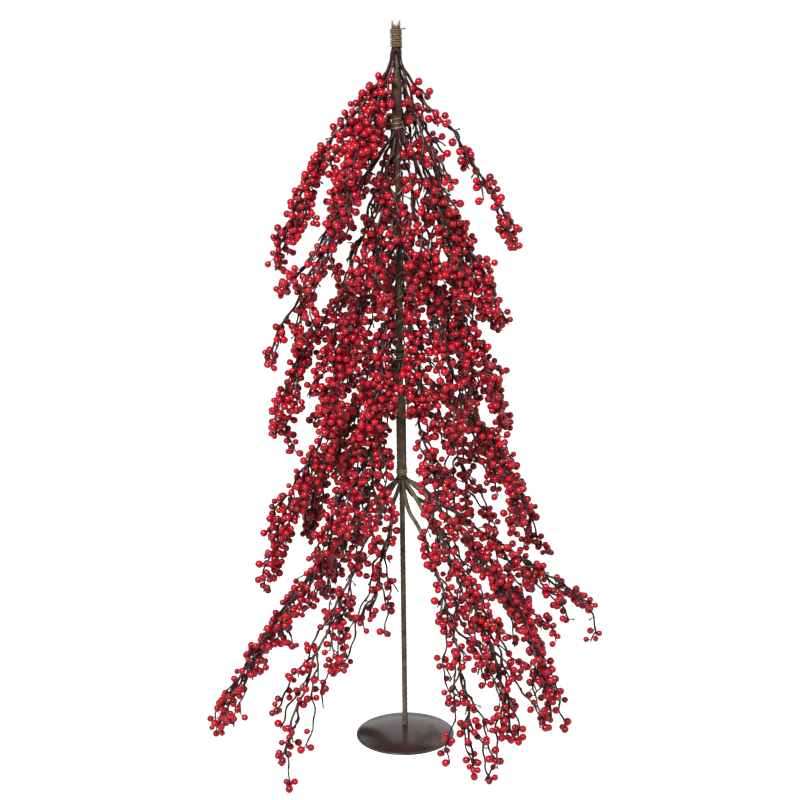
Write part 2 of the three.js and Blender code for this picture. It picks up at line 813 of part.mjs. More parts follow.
// The pole and the ties are there before the sprays swell
function placePole() {
  const foot = new THREE.Vector3(0, 0, plateTop);
  const top = new THREE.Vector3(0, 0, tapeTop);
  place([foot, top], [tapeOuter, tapeOuter], "pole", false);
  tiers.forEach((tier) => {
    const tieFoot = new THREE.Vector3(0, 0, tier.tieBottom);
    const tieTop = new THREE.Vector3(0, 0, tier.tieBottom + tier.tieLength + tier.cutLength);
    const radius = ringRadius(tier) + tieStemRadius + seatGap + 2 * twineRadius;
    place([tieFoot, tieTop], [radius, radius], "pole", false);
  });
}

function growSprays() {
  const sprays = tiers.flatMap((tier) => tier.sprays);
  placePole();
  tiers.forEach(setSlots);
  sprays.forEach(layStem);
  sprays.forEach(fillStem);
  sprays.forEach(settleStem);
  for (let index = 0; index < mostTwigs; index++) {
    sprays.filter((spray) => index < spray.twigCount).forEach((spray) => addTwig(spray, index));
  }
}

function part(name, geometry, material) {
  const mesh = new THREE.Mesh(geometry, material.clone());
  mesh.name = name;
  return mesh;
}

growSprays();

const group = new THREE.Group();

const base = new THREE.Group();
base.add(part("base_plate", basePlate(), brownPaint));
base.add(part("base_washer", baseWasher(), bareSteel));
base.add(part("base_nut", baseNut(), bareSteel));
group.add(base);

const pole = new THREE.Group();
pole.add(part("pole_rod", poleRod(), bareSteel));
pole.add(part("pole_tape", poleTape(), oliveTape));
pole.add(part("pole_spiral_wire", poleSpiralWire(), brassWire));
group.add(pole);

tiers.forEach((tier, index) => {
  const tierGroup = new THREE.Group();
  tierGroup.position.z = tier.tieBottom;
  const isLowest = tier === tiers.at(-1);
  if (tier.taped) tierGroup.add(part(`${tier.name}_tie_tape`, tieTape(tier), oliveTape));
  if (index === 0) tierGroup.add(part("crown_twine", crownTwine(), jute));
  else if (!isLowest) tierGroup.add(part(`${tier.name}_tie_wire`, tieWire(tier), brassWire));
  tier.sprays.forEach((spray) => {
    const geometry = geometryOf(spray.solid).translate(0, 0, -tier.tieBottom);
    tierGroup.add(part(spray.name, geometry, redBerry));
  });
  group.add(tierGroup);
});

export default group;
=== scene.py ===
import math
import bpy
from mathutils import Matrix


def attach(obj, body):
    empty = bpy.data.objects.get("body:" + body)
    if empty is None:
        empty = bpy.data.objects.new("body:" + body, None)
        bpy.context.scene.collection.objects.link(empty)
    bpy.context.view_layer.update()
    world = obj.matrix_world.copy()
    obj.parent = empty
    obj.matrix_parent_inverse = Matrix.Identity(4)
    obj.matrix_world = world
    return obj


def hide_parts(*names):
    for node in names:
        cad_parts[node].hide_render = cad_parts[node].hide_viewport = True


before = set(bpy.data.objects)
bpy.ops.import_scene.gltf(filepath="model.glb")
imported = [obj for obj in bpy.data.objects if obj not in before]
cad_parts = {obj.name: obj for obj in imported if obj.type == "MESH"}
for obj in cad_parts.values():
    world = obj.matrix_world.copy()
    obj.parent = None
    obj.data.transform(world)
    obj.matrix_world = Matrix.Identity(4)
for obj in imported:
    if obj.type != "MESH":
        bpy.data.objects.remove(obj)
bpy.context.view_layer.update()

from types import SimpleNamespace

import bpy
import numpy as np
from mathutils import Matrix, Vector

# Camera, where the photograph was taken from
CAMERA_DISTANCE = 2.495
CAMERA_ASIDE = -0.001
CAMERA_HEIGHT = 1.182
CAMERA_PITCH = math.radians(16.28)
CAMERA_ROLL = math.radians(0.77)
LENS_MM = 94.16
SENSOR_MM = 36

# Lights: place, target, width, height and watts
LIGHTS = {
    "key_light": ((-0.9, -2.3, 2.7), (0, 0, 0.45), 1.4, 1.4, 181),
    "side_light": ((2.3, -1.0, 1.5), (0, 0, 0.45), 1.2, 1.2, 16),
    "back_light": ((0.85, 2.4, 1.8), (0.85, 0, 1.8), 2.9, 3.5, 29),
    "left_fill": ((-2.4, 1.0, 1.3), (0, 0, 0.5), 1.5, 1.5, 5),
    "right_fill": ((2.4, 1.0, 1.3), (0, 0, 0.5), 1.5, 1.5, 5),
    "back_left_light": ((-1.6, 2.4, 1.5), (-1.6, 0, 1.5), 1.2, 2.8, 10),
}
WORLD_LIGHT = 0.035
WHITE = (1, 1, 1, 1)
FLOOR_GREY = (0.5, 0.5, 0.5, 1)
FLOOR_HALF = 20.0

# Pole and plate, as in the frame but for a narrower rim
POLE_FOOT = 0.0139
POLE_TAPE_TOP = 0.914
TAPE_RADIUS = 0.0034
TAPE_INNER = 0.0028
SEAT_GAP = 0.0003
PLATE_RADIUS = 0.0635
PLATE_SHEET = 0.002
RIM_WIDTH = 0.0018
RIM_INNER = PLATE_RADIUS - RIM_WIDTH
DOME_RISE = 0.0116
SPIGOT_HOLE = 0.0023
PLATE_SIDES = 144
DOME_STEPS = 40
ROLL_STEPS = 12

# Tapes of the pole and of two ties: the laps and how deep they step, and the rows and sides of the mesh
POLE_TAPE = SimpleNamespace(lap=0.0075, depth=0.00035, step=0.0008, sides=24)
SECOND_WRAP = SimpleNamespace(lap=0.011, depth=0.0003, step=0.0007, sides=30)
LOWEST_WRAP = SimpleNamespace(lap=0.009, depth=0.0003, step=0.0007, sides=30)
LAP_FALL_SHARE = 0.08
LAP_SINK_SHARE = 0.6
WRAP_NECK = 0.016
WRAP_WALL = 0.00045

# The wider foot of the pole's tape, and the stretch where it is brown
FOOT_FLARE = 0.00035
FOOT_LENGTH = 0.012
FOOT_TAPER = 0.003
BROWN_FROM = 0.660
BROWN_TO = 0.865
BROWN_FADE = 0.030

# Twine and wire, and each winding's loops, its first angle in radians and the stray of its ends
TWINE = SimpleNamespace(radius=0.0008, strands=3, slant=0.0009, slot="jute_twine")
WIRE = SimpleNamespace(radius=0.0005, strands=1, slant=0.0, slot="brass_wire")
WINDINGS = {
    "crown_twine": (10.1, -0.6, 0.006),
    "second_tie": (3.2, 1.9, 0.004),
    "lowest_tie": (3.2, 1.2, 0.003),
    "third_tie": (3.4, 4.3, 0.004),
    "fourth_tie": (3.4, 6.7, 0.004),
    "pole_spiral": (7, math.pi, 0.003),
    "upper_spiral": (4, 2.6, 0.003),
}
SECOND_WIRE_SPAN = (0.001, 0.019)
LOWEST_WIRE_SPAN = (0.005, 0.013)
SPIRAL_GAP = 0.012
UPPER_SPIRAL_GAP = 0.018
SLANT_ANGLE = math.radians(200)
STRAND_LAY_SHARE = 14
STRAND_OFFSET_SHARE = 0.38
STRAND_RADIUS_SHARE = 0.65
STRAND_SIDES = 6
WIRE_SIDES = 8
LOOP_STEPS = 36
WAVER_RATE = 0.37
WAVER_SHARE = 0.35
WAVER_PHASE = 6
LEAD_ROWS = 8
LEAD_TURN_SHARE = 0.9
WINDING_SEED = 7

# Tape on the lowest stems: where it starts and ends along them, its swell, its laps and its closed end
STEM_TAPE_START = 0.004
STEM_TAPE_END = 0.098
STEM_TAPE_RADIUS = 0.0027
STEM_TAPE_FOOT_RADIUS = 0.0019
STEM_TAPE_LAP = 0.0085
STEM_TAPE_LAP_DEPTH = 0.00025
SWELL_SHARE = 0.3
THINNING_SHARE = 0.35
CLOSING_SHARE = 0.55
CLOSING_ROWS = 6
STEM_TAPE_ROWS = 90
STEM_TAPE_SIDES = 9

# Stems: their seats in the ties and the way they swing out, as in the frame
TIE_STEM_RADIUS = 0.0009
STEM_CLEARANCE = 0.0003
SETTLE_SHARE = 0.25
SWAY_SHARE = 0.05
FREED_POWER = 1.5
SPLAY_LENGTH = 0.007
LEAST_TRIM_SHARE = 0.15

# The twigs that the frame has too
TWIG_EVERY = 0.068
MOST_TWIGS = 3
TWIG_FIRST_SHARE = 0.42
TWIG_LAST_SHARE = 0.98
ALONG_SHARE = 0.02
KNEE_SHARE = 0.45
DROOP_SHARE = 0.45
SHORT_SHARE = 0.7
TWIG_SPREAD = math.radians(26)
SIDE_LEAN = math.radians(40)

# Tiers, from the crown down. tie is the height of each tie's foot, tied its length and cut the stems'
# length above it. bare and hug are how long the stems bear nothing and keep close to the pole, twig is
# the length of their twigs, thin_share the berries lost towards the tips, and limp_share how far the
# long twigs hang. Each spray has its azimuth in degrees, its reach and drop as shares of its tier's,
# the power of its arch, and how full of berries it is, where 1 is full.
TIERS = (
    SimpleNamespace(
        name="crown", tie=0.888, tied=0.0225, cut=0.0095, reach=0.150, drop=0.257,
        bare=0.035, hug=0.120, twig=0.078, thin_share=0.1, limp_share=0.5,
        sprays=(
            (16, 0.37, 0.80, 1.5, 0.35), (56, 0.50, 0.80, 1.2, 0.35), (101, 0.58, 0.90, 1.2, 0.7),
            (145, 0.60, 0.78, 1.2, 1.3), (185, 1.0, 1.0, 1.3, 1.3), (226, 0.68, 0.68, 1.0, 1.6),
            (302, 0.40, 0.52, 1.3, 0.2), (346, 0.98, 0.84, 1.0, 0.55),
        ),
    ),
    SimpleNamespace(
        name="second", tie=0.790, tied=0.050, cut=0.003, reach=0.165, drop=0.282,
        bare=0.080, hug=0.030, twig=0.082, thin_share=0.2, limp_share=0.5,
        sprays=(
            (0, 0.80, 0.86, 1.1, 1.4), (42, 0.64, 0.78, 1.2, 0.5), (88, 0.66, 0.88, 1.3, 0.7),
            (131, 0.64, 0.82, 1.2, 0.3), (189, 1.03, 1.0, 1.05, 0.6), (213, 0.96, 0.62, 1.0, 0.5),
            (245, 0.42, 0.62, 1.2, 1.0), (300, 0.38, 0.70, 1.2, 0.9), (333, 0.60, 0.74, 1.2, 0.9),
        ),
    ),
    SimpleNamespace(
        name="third", tie=0.652, tied=0.012, cut=0.008, reach=0.158, drop=0.241,
        bare=0.030, hug=0.020, twig=0.084, thin_share=0.1, limp_share=0.5,
        sprays=(
            (9, 0.80, 0.88, 1.4, 1.4), (45, 0.84, 0.96, 1.7, 1.1), (99, 0.78, 0.86, 1.6, 0.8),
            (141, 0.70, 0.96, 1.7, 1.1), (181, 1.0, 1.0, 1.7, 1.1), (213, 0.66, 0.86, 1.8, 1.3),
            (243, 0.46, 0.92, 1.4, 1.2), (294, 0.42, 0.84, 1.3, 1.5), (330, 0.56, 0.94, 1.7, 0.8),
        ),
    ),
    SimpleNamespace(
        name="fourth", tie=0.505, tied=0.012, cut=0.008, reach=0.189, drop=0.277,
        bare=0.040, hug=0.020, twig=0.088, thin_share=0.2, limp_share=0.5,
        sprays=(
            (16, 0.93, 0.95, 1.7, 0.85), (51, 0.72, 0.88, 1.7, 0.7), (106, 0.72, 0.80, 1.6, 0.8),
            (152, 0.72, 0.92, 1.7, 1.2), (185, 0.86, 1.0, 2.0, 1.5), (208, 0.56, 0.86, 1.7, 1.0),
            (229, 0.46, 0.67, 1.2, 1.1), (304, 0.47, 0.68, 1.25, 1.1), (351, 0.76, 0.70, 2.1, 1.0),
        ),
    ),
    SimpleNamespace(
        name="lowest", tie=0.352, tied=0.092, cut=0.004, reach=0.246, drop=0.325,
        bare=0.085, hug=0.012, twig=0.120, thin_share=0.80, limp_share=0.1,
        sprays=(
            (30, 0.84, 0.90, 1.5, 1.0), (60, 0.76, 0.74, 1.6, 0.7), (126, 0.74, 0.66, 1.5, 1.2),
            (154, 0.90, 0.94, 1.4, 0.15), (190, 0.99, 1.0, 1.45, 1.45), (227, 0.92, 0.96, 1.05, 1.05),
            (242, 0.36, 0.50, 1.3, 0.9), (294, 0.80, 0.98, 1.9, 1.1), (312, 0.80, 0.91, 2.0, 1.6),
            (331, 0.85, 0.88, 1.8, 1.7), (357, 0.98, 0.52, 1.0, 1.3),
        ),
    ),
)
SEED_STEP = 100

# Long twigs that the frame leaves out. Their angles are in radians
STRAND_EVERY = 0.075
STRAND_LENGTHS = (0.070, 0.140)
STRAND_LAST_SHARE = 0.74
STRAND_TRIES = 5
STRAND_LEAST_SHARE = 0.2
STRAND_FULL_SHARE = 0.9
STRAND_TURN = 1.2
STRAND_LEAST_SPREAD = 0.16
STRAND_MOST_SPREAD = 0.24
STRAND_LIMP_SPREAD = 0.48
STRAND_FIRST_LENGTH_SHARE = 1.1
STRAND_LOST_LENGTH_SHARE = 0.4
RISE_FAULT = 60
MOST_BARE_SHARE = 0.28

# Side twigs and spurs: how often they come, how far they turn, spread and droop, and their lengths
SIDE_TWIGS = SimpleNamespace(
    every=0.055, turn=0.4, spread=(0.5, 0.9), droop_shares=(0.2, 0.8), length=(0.010, 0.026),
    knee_share=0.45, rows=9,
)
SPURS = SimpleNamespace(
    every=0.060, turn=0.5, spread=(0.6, 1.3), droop_shares=(0.1, 0.5), length=(0.005, 0.014),
    knee_share=0.5, rows=7,
)
SPARSER_SHARE = 1.3

# Wood: its radii, its knobs, its waves, and the rows and sides of its meshes
STEM_FOOT_RADIUS = 0.0018
STEM_TIP_RADIUS = 0.0014
TWIG_FOOT_RADIUS = 0.0015
TWIG_TIP_RADIUS = 0.00105
SIDE_FOOT_SHARE = 0.85
SIDE_TIP_SHARE = 0.8
END_SHARE = 0.6
SPUR_RADIUS = 0.0007
SPUR_FOOT_SHARE = 1.5
SPUR_NECK_SHARE = 1.3
SPUR_KNOB_RADIUS = 0.0013
SPUR_END_SHARE = 0.55
STALK_RADIUS = 0.0007
STALK_END_SHARE = 0.85
STRAIGHT_STALK = 0.004
KNOB_EVERY = 0.013
KNOB_SHARE = 0.32
KNOB_POWER = 6
KNOBBED_LENGTH = 0.06
STEM_WIGGLE = 0.0020
TWIG_WIGGLE = 0.0034
SLOW_WAVE = 0.075
QUICK_WAVE = 0.027
QUICK_SHARE = 0.35
WIGGLE_FADE_SHARE = 0.15
TWIG_STILL_SHARE = 0.05
PEEL_LENGTH = 0.003
STEM_ROWS = 64
TIED_ROWS = 8
TWIG_ROWS = 22
FREE_ROWS = 2
STEM_SIDES = 8
TWIG_SIDES = 6
SHOOT_SIDES = 5
STALK_SIDES = 3

# Room that the wood and the berries keep to other wood, to the floor and to the pole
WOOD_GAP = 0.001
FLOOR_GAP = 0.012
NEAR_WOOD = 0.03
POLE_CORE = 0.0075
POLE_ROWS = 300
TIE_ROWS = 12

# Heights at which the sprays part before the pole and leave it in sight, as bottom and top
OPEN_FRONT = ((0.020, 0.459), (0.500, 0.650), (0.706, 0.872))
OPEN_DEPTH = 0.170
OPEN_RADIUS = 0.0026
OPEN_STEP = 0.004

# Berries: radii, steps along the wires, stalks, and turns in radians
BERRY_SIZES = (0.0037, 0.0051)
BERRY_SQUEEZE = 0.0003
BERRY_EVERY = 0.0017
BERRY_SIDES = 9
BERRY_ROWS = 6
BERRY_STRETCH = 1.05
DIMPLE_SHARE = 0.12
DIMPLE_ANGLE = 0.4
CLUMP_LENGTH = 0.048
CLUMP_FRAY = 0.2
FULL_LEVEL = 2.4
BARE_LEVEL = 1.7
WIRE_END_SHARE = 0.9
TWIG_BARE_SHARE = 0.22
STALK_LENGTHS = (0.0002, 0.0022)
SEATED_TURN = 0.4
SEATED_LEAN_SHARES = (-0.1, 0.6)
OUTER_FACE = 0.45
OUTER_FACE_SHARE = 0.6
OUTER_BERRY_EVERY = 0.016
OUTER_STALK_LENGTHS = (0.004, 0.0095)
OUTER_TURN = 0.6
OUTER_LEAN_SHARE = 0.8
OUTER_ONWARD_SHARE = 0.5
OUTER_DROOP_SHARE = 0.6
OUTER_KNEE_SHARE = 0.6
TIP_SEAT_SHARE = 0.92
TIP_KEPT_SHARE = 0.92
SPUR_KEPT_SHARE = 0.4
LEAST_KEPT_SHARE = 0.3
TONE_POWER = 1.7
MOST_TONE_SHARE = 0.85
END_ROWS = 3
BERRY_PARTS = ("foot", "knee", "centre", "way", "size")

# Looks of the finishes: two colours, and the values of the mottle that they share
LOOK_INPUTS = ("Light", "Dark", "Patch Scale", "Grain Scale", "Grain Depth", "Smoothness", "Roughness Range")
LOOKS = {
    "red_berry_lacquer": ((0.53, 0.001, 0.013, 1), (0.38, 0.0005, 0.008, 1), 260, 1400, 0.10, 0.30, 0.12),
    "twig_bark": ((0.064, 0.017, 0.019, 1), (0.012, 0.003, 0.004, 1), 90, 700, 0.5, 0.14, 0.16),
    "florist_tape": ((0.150, 0.120, 0.072, 1), (0.064, 0.048, 0.030, 1), 120, 1100, 0.8, 0.5, 0.3),
    "jute_twine": ((0.27, 0.180, 0.092, 1), (0.080, 0.050, 0.026, 1), 420, 2200, 0.9, 0.6, 0.3),
    "brass_wire": ((0.62, 0.50, 0.27, 1), (0.34, 0.26, 0.13, 1), 300, 2000, 0.2, 0.3, 0.2),
    "drawn_steel": ((0.55, 0.54, 0.52, 1), (0.38, 0.37, 0.36, 1), 300, 1800, 0.25, 0.32, 0.2),
    "brown_base_paint": ((0.040, 0.022, 0.021, 1), (0.032, 0.018, 0.017, 1), 30, 900, 0.02, 0.15, 0.05),
}
DARKEST_RED = (0.17, 0.002, 0.007, 1)
BERRY_END_BROWN = (0.03, 0.008, 0.006, 1)
BERRY_END_SHARE = 0.93
PEELED_WOOD = (0.26, 0.19, 0.14, 1)
TAPE_BROWNING = (0.70, 0.42, 0.54, 1)
BUMP_DEPTH = 0.0004

GOLDEN_ANGLE = math.pi * (3 - math.sqrt(5))
GOLDEN_SHARE = (math.sqrt(5) - 1) / 2
FULL_TURN = 2 * math.pi
LEAST_LENGTH = 1e-12
DOWN = np.array((0.0, 0.0, -1.0))


def unit(vectors):
    """Vectors drawn to length 1, along the last axis."""
    return vectors / np.maximum(np.linalg.norm(vectors, axis=-1, keepdims=True), LEAST_LENGTH)


def smooth_step(share):
    """3 s^2 - 2 s^3, with s held between 0 and 1."""
    held = np.clip(share, 0, 1)
    return held * held * (3 - 2 * held)


def around(angle):
    """The level direction at an angle from +X: (cos, sin, 0)."""
    angle = np.asarray(angle, float)
    return np.stack([np.cos(angle), np.sin(angle), np.zeros_like(angle)], axis=-1)


def scatter(count):
    """Even, repeatable scatter between 0 and 1: the golden share times a count, less its whole part."""
    return (count * GOLDEN_SHARE) % 1


def turned(vector, axis, angle):
    """A vector turned about a unit axis: v cos a + (k x v) sin a + k (k.v)(1 - cos a)."""
    along = axis * np.dot(axis, vector)
    cosine = math.cos(angle)
    return vector * cosine + np.cross(axis, vector) * math.sin(angle) + along * (1 - cosine)


# Paths
def bezier(starts, knees, tips, rows):
    """Quadratic curves: start (1-s)^2 + 2 knee s (1-s) + tip s^2, at even shares s."""
    share = np.linspace(0, 1, rows)[:, None]
    from_start = starts[:, None] * (1 - share) ** 2
    return from_start + 2 * knees[:, None] * share * (1 - share) + tips[:, None] * share ** 2


def smoothed(paths, passes):
    """Each inner point drawn halfway to the middle of its neighbours, some times over."""
    paths = paths.copy()
    for _ in range(passes):
        paths[:, 1:-1] = 0.25 * paths[:, :-2] + 0.5 * paths[:, 1:-1] + 0.25 * paths[:, 2:]
    return paths


def length_so_far(path):
    """The length along a path up to each of its points."""
    return np.concatenate([[0], np.cumsum(np.linalg.norm(np.diff(path, axis=0), axis=1))])


def read_off(path, reached, marks):
    """Places at marks along a path, where reached gives each of its own points' mark."""
    return np.stack([np.interp(marks, reached, path[:, axis]) for axis in range(3)], axis=1)


def spots_along(paths, every, dice):
    """Spots at about even steps along paths laid end to end: place, way, share of the path, and mark."""
    steps = np.diff(paths, axis=1)
    lengths = np.linalg.norm(steps, axis=2).ravel()
    reached = np.cumsum(lengths)
    count = int(reached[-1] / every)
    marks = (np.arange(count) + dice.random(count)) * every
    index = np.minimum(np.searchsorted(reached, marks), len(reached) - 1)
    part = 1 - (reached[index] - marks) / lengths[index]
    step = steps.reshape(-1, 3)[index]
    place = paths[:, :-1].reshape(-1, 3)[index] + step * part[:, None]
    row = index % steps.shape[1]
    return SimpleNamespace(place=place, way=unit(step), share=(row + part) / steps.shape[1], mark=marks)


def across_of(paths):
    """Two unit vectors square to each path at each of its points.

    The first is a fixed direction, square to the path's chord, with its part along the path taken off.
    """
    chord = unit(paths[:, -1] - paths[:, 0])
    spare = np.eye(3)[np.argmin(np.abs(chord), axis=1)]
    fixed = unit(np.cross(chord, spare))[:, None]
    along = unit(np.gradient(paths, axis=1))
    first = unit(fixed - along * np.sum(fixed * along, axis=-1, keepdims=True))
    return first, np.cross(along, first)


def across_of_winding(paths):
    """Two unit vectors square to a winding: one along the pole's axis, and one square to both."""
    along = unit(np.gradient(paths, axis=1))
    up = -DOWN
    first = unit(up - along * along[..., 2:3])
    return first, np.cross(along, first)


def sideways_at(way, angle):
    """Unit vectors square to each way, turned about it by an angle."""
    spare = np.eye(3)[np.argmin(np.abs(way), axis=1)]
    first = unit(np.cross(way, spare))
    return first * np.cos(angle)[:, None] + np.cross(way, first) * np.sin(angle)[:, None]


# Meshes
def new_object(name, data):
    """An object at the origin, put into the scene."""
    made = bpy.data.objects.new(name, data)
    bpy.context.scene.collection.objects.link(made)
    return made


def new_piece(name, places, faces, slot, node=None):
    """A smooth mesh object at the origin, in its slot's finish and, if a node is named, in its place.

    faces is a list of (count, corners) arrays of indices.
    """
    mesh = bpy.data.meshes.new(name)
    corners = np.concatenate([face.ravel() for face in faces])
    sides = np.concatenate([np.full(len(face), face.shape[1]) for face in faces])
    starts = np.concatenate([[0], np.cumsum(sides)[:-1]])
    mesh.vertices.add(len(places))
    mesh.vertices.foreach_set("co", places.astype(np.float32).ravel())
    mesh.loops.add(len(corners))
    mesh.loops.foreach_set("vertex_index", corners.astype(np.int32))
    mesh.polygons.add(len(sides))
    mesh.polygons.foreach_set("loop_start", starts.astype(np.int32))
    mesh.update(calc_edges=True)
    mesh.shade_smooth()
    mesh.materials.append(FINISHES[slot])
    piece = new_object(name, mesh)
    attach(piece, "root")
    if node:
        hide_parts(node)
    return piece


def set_attribute(piece, name, values):
    """A number for each vertex, which the piece's material reads."""
    attribute = piece.data.attributes.new(name, "FLOAT", "POINT")
    attribute.data.foreach_set("value", values.astype(np.float32).ravel())


def grid_faces(rows, sides):
    """Quads of a tube of rings, facing outward where each ring turns left about the way of the rows."""
    row, side = np.meshgrid(np.arange(rows - 1), np.arange(sides), indexing="ij")
    after = (side + 1) % sides
    near, far = row * sides, (row + 1) * sides
    quads = np.stack([near + side, near + after, far + after, far + side], axis=-1)
    return quads.reshape(-1, 4)


def closed_grid_faces(rows, sides):
    """Quads of rings whose last joins the first: up the outer wall and down the inner one."""
    row, side = np.meshgrid(np.arange(rows), np.arange(sides), indexing="ij")
    next_row, after = (row + 1) % rows, (side + 1) % sides
    corners = (row * sides + side, row * sides + after, next_row * sides + after, next_row * sides + side)
    return np.stack(corners, axis=-1).reshape(-1, 4)


def tubes(paths, radii, sides, across=across_of):
    """Closed tubes along many paths at once: place = path + radius (u cos a + v sin a).

    paths is (count, rows, 3) and radii broadcasts to (count, rows). across gives u and v. Each end is one
    flat face.
    """
    count, rows = paths.shape[:2]
    first, second = across(paths)
    angle = np.arange(sides) * (FULL_TURN / sides)
    outward = first[:, :, None] * np.cos(angle)[:, None] + second[:, :, None] * np.sin(angle)[:, None]
    radii = np.broadcast_to(radii, (count, rows))
    places = paths[:, :, None] + outward * radii[:, :, None, None]
    first_corner = (np.arange(count) * rows * sides)[:, None, None]
    walls = (grid_faces(rows, sides)[None] + first_corner).reshape(-1, 4)
    start = np.arange(sides)[::-1][None] + first_corner[:, 0]
    end = (rows - 1) * sides + np.arange(sides)[None] + first_corner[:, 0]
    return places.reshape(-1, 3), [walls, start, end]


def joined(parts):
    """Several (places, faces) as one."""
    places, faces, count = [], [], 0
    for part_places, part_faces in parts:
        places.append(part_places)
        faces.extend(face + count for face in part_faces)
        count += len(part_places)
    return np.concatenate(places), faces


# Materials
def set_sockets(node, values):
    """Sets inputs by name, with each space in a name written as an underscore."""
    for name, value in values.items():
        node.inputs[name.replace("_", " ")].default_value = value


def new_material(name):
    """A material, its nodes and its shader."""
    material = bpy.data.materials.new(name)
    material.use_nodes = True
    return material, material.node_tree, material.node_tree.nodes["Principled BSDF"]


def add_node(tree, kind, **values):
    """A node with some of its inputs set."""
    node = tree.nodes.new(kind)
    set_sockets(node, values)
    return node


def mottle_group():
    """A shared effect: two colours mixed by soft noise, and a roughness and a bump from fine noise."""
    group = bpy.data.node_groups.new("mottle", "ShaderNodeTree")
    for way, kind, names in (
        ("INPUT", "Color", LOOK_INPUTS[:2]),
        ("INPUT", "Float", LOOK_INPUTS[2:]),
        ("OUTPUT", "Color", ("Color",)),
        ("OUTPUT", "Float", ("Roughness",)),
        ("OUTPUT", "Vector", ("Normal",)),
    ):
        for name in names:
            group.interface.new_socket(name, in_out=way, socket_type=f"NodeSocket{kind}")
    given = group.nodes.new("NodeGroupInput")
    put = group.nodes.new("NodeGroupOutput")
    where = group.nodes.new("ShaderNodeTexCoord")
    patches = add_node(group, "ShaderNodeTexNoise", Detail=3)
    grain = add_node(group, "ShaderNodeTexNoise", Detail=4)
    spread = add_node(group, "ShaderNodeMapRange", From_Min=0.35, From_Max=0.65)
    mix = group.nodes.new("ShaderNodeMix")
    mix.data_type = "RGBA"
    bump = add_node(group, "ShaderNodeBump", Distance=BUMP_DEPTH)
    rough = group.nodes.new("ShaderNodeMath")
    rough.operation = "MULTIPLY_ADD"
    for source, output, target, socket in (
        (where, "Object", patches, "Vector"),
        (where, "Object", grain, "Vector"),
        (given, "Patch Scale", patches, "Scale"),
        (given, "Grain Scale", grain, "Scale"),
        (patches, "Fac", spread, "Value"),
        (spread, "Result", mix, 0),
        (given, "Dark", mix, 6),
        (given, "Light", mix, 7),
        (given, "Grain Depth", bump, "Strength"),
        (grain, "Fac", bump, "Height"),
        (grain, "Fac", rough, 0),
        (given, "Roughness Range", rough, 1),
        (given, "Smoothness", rough, 2),
        (mix, 2, put, "Color"),
        (rough, 0, put, "Roughness"),
        (bump, "Normal", put, "Normal"),
    ):
        group.links.new(source.outputs[output], target.inputs[socket])
    return group


def finish(name, surface, *overlays):
    """A material whose colour, roughness and bump come from the shared mottle with its own look.

    surface is the shader's values. Each overlay lays a colour over the rest, where an attribute of the
    piece, stretched from a start up to 1, says so.
    """
    material, tree, shader = new_material(name)
    mottle = tree.nodes.new("ShaderNodeGroup")
    mottle.node_tree = MOTTLE
    set_sockets(mottle, dict(zip(LOOK_INPUTS, LOOKS[name])))
    set_sockets(shader, surface)
    colour = mottle.outputs["Color"]
    for attribute, start, over, blend in overlays:
        mask = tree.nodes.new("ShaderNodeAttribute")
        mask.attribute_name = attribute
        stretch = add_node(tree, "ShaderNodeMapRange", From_Min=start)
        mix = tree.nodes.new("ShaderNodeMix")
        mix.data_type = "RGBA"
        mix.blend_type = blend
        mix.inputs[7].default_value = over
        tree.links.new(mask.outputs["Fac"], stretch.inputs["Value"])
        tree.links.new(stretch.outputs["Result"], mix.inputs[0])
        tree.links.new(colour, mix.inputs[6])
        colour = mix.outputs[2]
    tree.links.new(colour, shader.inputs["Base Color"])
    tree.links.new(mottle.outputs["Roughness"], shader.inputs["Roughness"])
    tree.links.new(mottle.outputs["Normal"], shader.inputs["Normal"])
    return material


def berry_lacquer():
    """Lacquered red, each berry a little lighter or darker, with a brown spot at its far end."""
    surface = dict(Specular_IOR_Level=0.05, Coat_Weight=1.0, Coat_Roughness=0.04, Coat_IOR=1.5)
    darker = ("tone", 0.0, DARKEST_RED, "MIX")
    brown_spot = ("tip", BERRY_END_SHARE, BERRY_END_BROWN, "MIX")
    return finish("red_berry_lacquer", surface, darker, brown_spot)


def twig_bark():
    """Dark red-brown glossy bark, pale where a cut end has lost it."""
    return finish("twig_bark", dict(Specular_IOR_Level=0.3), ("peeled", 0.0, PEELED_WOOD, "MIX"))


def florist_tape():
    """Crinkled olive tape, browner where the piece's own attribute says so."""
    return finish("florist_tape", dict(Specular_IOR_Level=0.3), ("brown", 0.0, TAPE_BROWNING, "MULTIPLY"))


def jute_twine():
    """Dull, hairy brown twine."""
    return finish("jute_twine", dict(Specular_IOR_Level=0.3))


def brass_wire():
    """Soft yellow wire, half dulled."""
    return finish("brass_wire", dict(Specular_IOR_Level=0.3, Metallic=0.5))


def drawn_steel():
    """Bright steel of the rod, the washer and the nut."""
    return finish("drawn_steel", dict(Specular_IOR_Level=0.3, Metallic=1.0))


def brown_base_paint():
    """Smooth, glossy dark brown paint."""
    return finish("brown_base_paint", dict(Specular_IOR_Level=0.6))


MOTTLE = mottle_group()
FINISHES = {
    "red_berries": berry_lacquer(),
    "twig_bark": twig_bark(),
    "florist_tape": florist_tape(),
    "jute_twine": jute_twine(),
    "brass_wire": brass_wire(),
    "base_paint": brown_base_paint(),
}


# Base plate
def revolved(profile, sides):
    """A closed ring of a profile about Z: (radius cos a, radius sin a, height)."""
    angle = np.arange(sides) * (FULL_TURN / sides)
    places = around(angle)[None] * profile[:, 0][:, None, None]
    places[:, :, 2] = profile[:, 1][:, None]
    return places.reshape(-1, 3), [closed_grid_faces(len(profile), sides)]


